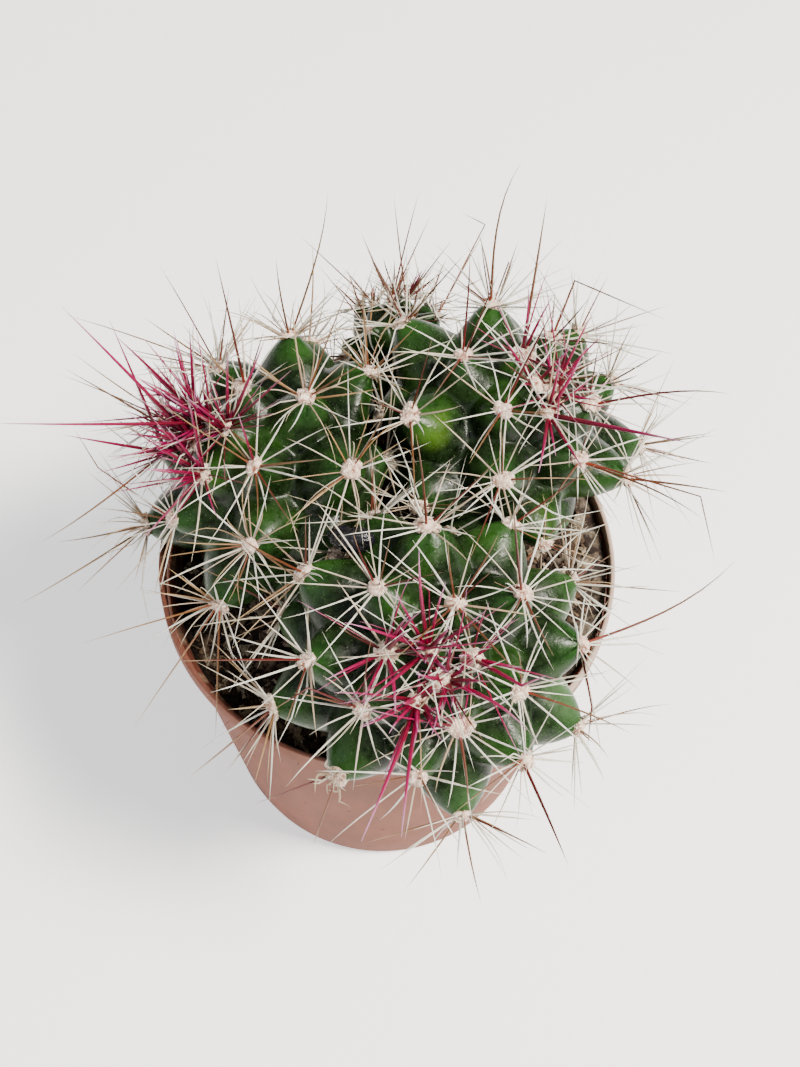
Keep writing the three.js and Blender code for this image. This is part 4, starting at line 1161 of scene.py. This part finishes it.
def set_radials(sheaf, seat, draw, count):
    start = draw.uniform(0, 2 * math.pi)
    for i in range(count):
        turned = start + 2 * math.pi * (i + draw.uniform(-0.45, 0.45)) / count
        lean = draw.uniform(*(FLAT_LEAN if draw.random() < FLAT_SHARE else STEEP_LEAN))
        length = draw.uniform(*RADIAL_LENGTH) * seat.scale
        radius = draw.uniform(*RADIAL_RADIUS)
        tone = min(draw.beta(0.5, 1.2) * (0.7 + strawness(seat, draw)), 1)
        place_spine(sheaf, seat, math.radians(lean), turned, length, radius, tone, draw,
                    base=RADIAL_BASE, bend=draw.uniform(-1.4, 1.4) * MM,
                    droop=draw.uniform(-0.5, 1) * MM, points=6)


def set_centrals(sheaf, seat, draw, leans, lengths, radii):
    lean = math.radians(draw.uniform(*leans))
    turned = draw.uniform(0, 2 * math.pi)
    length = draw.uniform(*lengths) * seat.scale
    place_spine(sheaf, seat, lean, turned, length, draw.uniform(*radii), strawness(seat, draw),
                draw, bend=draw.uniform(-1.5, 1.5) * MM, points=7)


def set_hairs(sheaf, seat, draw):
    for _ in range(draw.integers(*HAIRS[seat.head.name])):
        lean = math.radians(draw.uniform(*HAIR_LEAN))
        turned = draw.uniform(0, 2 * math.pi)
        length, tone = draw.uniform(*HAIR_LENGTH), draw.uniform(0.5, 1)
        place_spine(sheaf, seat, lean, turned, length, HAIR_RADIUS, tone, draw, base=HAIR_BASE,
                    bend=draw.uniform(-5, 5) * MM, droop=draw.uniform(2, 7) * MM, points=9)


def set_curled_tuft(sheaf, seat, draw):
    for _ in range(CURLED_COUNT):
        lean = math.radians(draw.uniform(*CURLED_LEAN))
        turned = draw.uniform(0, 2 * math.pi)
        length = draw.uniform(*CURLED_LENGTH) * MM
        course = spine_course(seat, lean, turned, length, bend=draw.uniform(-2, 2) * MM, points=9)
        for curl in CURLS:
            course = kinked(course, draw, *curl)
        sheaf.add(course, draw.uniform(*CURLED_RADIUS) * MM, draw.uniform(0.3, 0.8))


def spine_tree():
    """Skins each course as a round tapering needle with closed ends."""
    tree, given = tree_with("skin spines", [("Sides", "Int"), ("Horn", "Material")])
    wires = add_node(tree, "GeometryNodeMeshToCurve", {"Mesh": given["Geometry"]})
    ring = add_node(tree, "GeometryNodeCurvePrimitiveCircle", {
        "Resolution": given["Sides"], "Radius": 1.0})
    width = add_node(tree, "GeometryNodeInputNamedAttribute", {"Name": "radius_here"},
                     data_type="FLOAT")
    needles = add_node(tree, "GeometryNodeCurveToMesh", {
        "Curve": wires.outputs[0], "Profile Curve": ring.outputs["Curve"],
        "Scale": width.outputs["Attribute"], "Fill Caps": True})
    real = add_node(tree, "GeometryNodeRealizeInstances", {0: needles.outputs[0]})
    smooth = add_node(tree, "GeometryNodeSetShadeSmooth", {0: real.outputs[0]})
    return close_tree(tree, smooth.outputs[0], given["Horn"])


def horn(name, fresh, faded, roughness):
    """Horny spine: its colour runs from root to tip, between two kinds of spine
    that the attribute tone blends, with fine lengthwise streaks."""
    material, tree = start_material(name)
    along = add_node(tree, "ShaderNodeAttribute", attribute_name="along").outputs["Fac"]
    tone = add_node(tree, "ShaderNodeAttribute", attribute_name="tone").outputs["Fac"]
    ends = [coloured_by(add_node(tree, "ShaderNodeValToRGB", {"Fac": along}), *stops)
            for stops in (fresh, faded)]
    blend = add_node(tree, "ShaderNodeMix", {0: tone, 6: ends[0], 7: ends[1]}, data_type="RGBA")
    place = add_node(tree, "ShaderNodeTexCoord").outputs["Object"]
    streak = add_node(tree, "ShaderNodeTexNoise", {
        "Vector": place, "Scale": 1 / (1.5 * MM), "Detail": 3})
    toned = add_node(tree, "ShaderNodeMapRange", {
        "Value": streak.outputs["Fac"], "To Min": 0.72, "To Max": 1.15})
    shown = add_node(tree, "ShaderNodeMix", {0: 1.0, 6: blend.outputs[2], 7: toned.outputs[0]},
                     data_type="RGBA", blend_type="MULTIPLY")
    return set_shader(material, {
        "Base Color": shown.outputs[2], "Roughness": roughness, "IOR": 1.54,
        "Specular IOR Level": 0.35})


BONE_WHITE = horn(
    "bone-white radial spine",
    [(0.08, "#a9806a"), (0.2, "#d9d6c8"), (0.8, "#e3e4da"), (1.0, "#bdbcae")],
    [(0.08, "#54261a"), (0.3, "#8c6440"), (0.8, "#ae9062"), (1.0, "#a08a68")], 0.45)
RED_BROWN = horn(
    "red-brown central spine",
    [(0.08, "#8a1c0c"), (0.24, "#560f0c"), (0.75, "#44140f"), (1.0, "#9c8466")],
    [(0.08, "#8a3c10"), (0.25, "#6a421e"), (0.7, "#8c7048"), (1.0, "#9e8e6e")], 0.4)
CRIMSON = horn(
    "young crimson spine",
    [(0.06, "#560016"), (0.35, "#6c0026"), (0.72, "#92004c"), (1.0, "#c890ba")],
    [(0.06, "#2a0005"), (0.35, "#46020d"), (0.75, "#5c081c"), (1.0, "#a06a62")], 0.3)
spine_growth = spine_tree()

for head in heads.values():
    radials, centrals, young = Sheaf(STOUT), Sheaf(STOUT), Sheaf(TAPERING)
    draw = head.draw
    for seat in (seat for seat in seats if seat.head is head):
        new = seat.number < YOUNG_AREOLES
        listed = set_listed_spines(seat, young, centrals, draw)
        more = draw.integers(*CROWN_SPINES[head.name]) if new else max(0, CENTRALS - listed)
        for _ in range(more):
            leans = CROWN_LEAN if new else CENTRAL_LEAN
            if new and draw.random() < CRIMSON_SHARE[head.name]:
                set_centrals(young, seat, draw, leans, YOUNG_LENGTH, YOUNG_RADIUS)
            else:
                set_centrals(centrals, seat, draw, leans, CENTRAL_LENGTH, CENTRAL_RADIUS)
        if (head.name, seat.number) == CURLED_AREOLE:
            set_curled_tuft(radials, seat, draw)
        else:
            set_radials(radials, seat, draw, draw.integers(*(CROWN_RADIALS if new else RADIALS)))
        if new and draw.random() < CRIMSON_SHARE[head.name]:
            set_radials(young, seat, draw, draw.integers(*YOUNG_RADIALS))
        if seat.polar / LOWEST_SPINES > HAIRY_AGE[head.name]:
            set_hairs(radials, seat, draw)
    kinds = (("_radial_spines", radials, BONE_WHITE, 5), ("_central_spines", centrals, RED_BROWN, 6),
             ("_young_spines", young, CRIMSON, 6))
    for label, sheaf, finish, sides in kinds:
        piece = link_object(head.name + label, sheaf.mesh(head.name + label))
        run_tree(piece, spine_growth, {"Sides": sides, "Horn": finish})
        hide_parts(head.name)
        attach(piece, "root")


# --- Bits in the soil --------------------------------------------------------
# Loose on the soil lie chips of composted bark, fine crumbs, a few grains of
# white perlite, and thin root fibres.
BITS_SEED = 21
BITS_SHADE_SEED = 4


def scatter_tree(name, shape_kind, shape_inputs):
    """Strews one kind of bit over the bare soil, each bent out of true."""
    tree, given = tree_with(name, [
        ("Density", "Float"), ("Size", "Vector"), ("Tilt", "Float"), ("Roughness", "Float"),
        ("Seed", "Int"), ("Finish", "Material")])
    bare = add_node(tree, "GeometryNodeInputNamedAttribute", {"Name": "bare"}, data_type="FLOAT")
    density = add_node(tree, "ShaderNodeMath", {
        0: bare.outputs["Attribute"], 1: given["Density"]}, operation="MULTIPLY")
    points = add_node(tree, "GeometryNodeDistributePointsOnFaces", {
        "Mesh": given["Geometry"], "Density": density.outputs[0], "Seed": given["Seed"]})
    shape = add_node(tree, shape_kind, shape_inputs)
    back = add_node(tree, "ShaderNodeMath", {0: given["Tilt"], 1: -1.0}, operation="MULTIPLY")
    turns = [add_node(tree, "ShaderNodeCombineXYZ", {0: tilt, 1: tilt, 2: turn}).outputs[0]
             for tilt, turn in ((back.outputs[0], -3.14), (given["Tilt"], 3.14))]
    grade = add_node(tree, "FunctionNodeRandomValue", {
        0: (0.5, 0.5, 0.5), 1: (1.4, 1.3, 1.3), "Seed": given["Seed"]}, data_type="FLOAT_VECTOR")
    size = add_node(tree, "ShaderNodeVectorMath", {0: given["Size"], 1: grade.outputs[0]},
                    operation="MULTIPLY")
    strewn = planted(tree, points.outputs, shape.outputs[0], turns, size.outputs[0],
                     given["Seed"], BITS_SHADE_SEED)
    real = add_node(tree, "GeometryNodeRealizeInstances", {0: strewn})
    rough = add_node(tree, "ShaderNodeTexNoise", {"Scale": 1 / (1.3 * MM), "Detail": 1})
    centred = add_node(tree, "ShaderNodeVectorMath", {
        0: rough.outputs["Color"], 1: (0.5, 0.5, 0.5)}, operation="SUBTRACT")
    push = add_node(tree, "ShaderNodeVectorMath", {
        0: centred.outputs[0], "Scale": given["Roughness"]}, operation="SCALE")
    bent = add_node(tree, "GeometryNodeSetPosition", {
        "Geometry": real.outputs[0], "Offset": push.outputs[0]})
    return close_tree(tree, bent.outputs[0], given["Finish"])


def mineral_or_bark(name, colours, roughness, grain):
    """A bit's own tone comes from its attribute, with grain across each one."""
    material, tree = start_material(name)
    place = add_node(tree, "ShaderNodeTexCoord").outputs["Object"]
    shade = add_node(tree, "ShaderNodeAttribute", attribute_name="shade").outputs["Fac"]
    tone = coloured_by(add_node(tree, "ShaderNodeValToRGB", {"Fac": shade}),
                       *zip(np.linspace(0, 1, len(colours)), colours))
    streak = add_node(tree, "ShaderNodeTexNoise", {
        "Vector": place, "Scale": 1 / grain, "Detail": 4})
    toned = add_node(tree, "ShaderNodeMapRange", {
        "Value": streak.outputs["Fac"], "From Min": 0.3, "From Max": 0.7, "To Min": 0.5,
        "To Max": 1.2})
    shown = add_node(tree, "ShaderNodeMix", {0: 1.0, 6: tone, 7: toned.outputs[0]},
                     data_type="RGBA", blend_type="MULTIPLY")
    relief = add_node(tree, "ShaderNodeBump", {
        "Height": streak.outputs["Fac"], "Strength": 0.6, "Distance": 0.3 * MM})
    return set_shader(material, {
        "Base Color": shown.outputs[2], "Roughness": roughness,
        "Normal": relief.outputs["Normal"]})


BARK = mineral_or_bark(
    "composted bark chip", ["#2b1d14", "#5a4332", "#8d7862", "#b3a48d"], 0.9, 0.8 * MM)
CRUMB = mineral_or_bark("peat crumb", ["#140d09", "#3a281c", "#6b5644"], 0.95, 0.5 * MM)
PERLITE = mineral_or_bark("expanded perlite", ["#b5b0a4", "#e6e2d8"], 0.85, 0.4 * MM)
CHIP_SHAPE = ("GeometryNodeMeshCube", {"Vertices X": 4, "Vertices Y": 3, "Vertices Z": 2})
CRUMB_SHAPE = ("GeometryNodeMeshIcoSphere", {"Radius": 0.56, "Subdivisions": 1})
GRAIN_SHAPE = ("GeometryNodeMeshIcoSphere", {"Radius": 0.5, "Subdivisions": 2})
# Each kind's shape, how many lie on a square mm, their size in mm, how far
# they tilt, how far they are bent out of true in mm, and their finish.
BITS = (
    ("bark_chips", CHIP_SHAPE, 0.08, (4.2, 2.2, 0.9), 0.5, 1.1, BARK),
    ("peat_crumbs", CRUMB_SHAPE, 0.7, (1.6, 1.2, 1.0), 1.5, 0.9, CRUMB),
    ("perlite_grains", GRAIN_SHAPE, 0.012, (1.6, 1.4, 1.2), 1.5, 0.7, PERLITE),
    ("root_fibres", CHIP_SHAPE, 0.05, (9.0, 0.28, 0.24), 0.25, 3.0, BARK),
)
for label, shape, per_square_mm, size, tilt, roughness, finish in BITS:
    bits = link_object(label, soil.data.copy())
    run_tree(bits, scatter_tree("strew " + label, *shape), {
        "Density": per_square_mm / MM ** 2, "Size": [side * MM for side in size],
        "Tilt": tilt, "Roughness": roughness * MM, "Seed": BITS_SEED, "Finish": finish})
    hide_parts("soil")
    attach(bits, "root")


# --- Dried flower ------------------------------------------------------------
# One spent flower has shrivelled to a crumpled, shiny, near-black knot and
# lies in the cleft between the left and the front head.
FLOWER_CENTRE = np.array([-7.8, -14.6, 125.4]) * MM
FLOWER_SIZE = np.array([4.5, 3.6, 3.9]) * MM
FLOWER_FILL = 0.84
FLOWER_SUBDIVISIONS = 6
CREASES = 14
CREASE_SEED = 8
CREASE_DEPTH = (0.14, 0.3)
RIDGE_DEPTH = 0.3
RIDGE_MEAN = 0.6
RIDGE_SPACING = 7


def crumpled_knot():
    """A round bud crushed along many flat creases."""
    shape = bmesh.new()
    bmesh.ops.create_icosphere(shape, subdivisions=FLOWER_SUBDIVISIONS, radius=1)
    draw = np.random.default_rng(CREASE_SEED)
    ways = unit(draw.normal(size=(CREASES, 3)))
    offsets = draw.uniform(-0.8, 0.8, CREASES)
    in_or_out = np.where(np.arange(CREASES) % 2, 1, -1)
    depths = draw.uniform(*CREASE_DEPTH, CREASES) * in_or_out
    fine = draw.normal(size=(3, 9)) * RIDGE_SPACING
    for vert in shape.verts:
        way = np.array(vert.co)
        folds = (depths * np.abs(ways @ way - offsets)).sum()
        ridges = RIDGE_DEPTH * (np.abs(np.sin(way @ fine)).mean() - RIDGE_MEAN)
        vert.co = Vector(FLOWER_CENTRE + way * (FLOWER_FILL + folds + ridges) * FLOWER_SIZE)
    mesh = finished_mesh(shape, "dried_flower_knot")
    mesh.shade_smooth()
    return mesh


def shrivelled_petal():
    """Dried petals: blue-black and papery, glossy on the ridges of the folds."""
    material, tree = start_material("shrivelled black petal")
    place = add_node(tree, "ShaderNodeTexCoord").outputs["Object"]
    vein = add_node(tree, "ShaderNodeTexNoise", {
        "Vector": place, "Scale": 1 / (0.9 * MM), "Detail": 6, "Distortion": 1.2})
    ink = coloured_by(add_node(tree, "ShaderNodeValToRGB", {"Fac": vein.outputs["Fac"]}),
                      (0.42, "#050507"), (0.72, "#2b2a36"))
    relief = add_node(tree, "ShaderNodeBump", {
        "Height": vein.outputs["Fac"], "Strength": 0.6, "Distance": 0.3 * MM})
    return set_shader(material, {
        "Base Color": ink, "Roughness": 0.22, "Normal": relief.outputs["Normal"]})


knot = link_object("dried_flower_knot", crumpled_knot())
knot.data.materials.append(shrivelled_petal())
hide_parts("dried_flower")
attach(knot, "root")
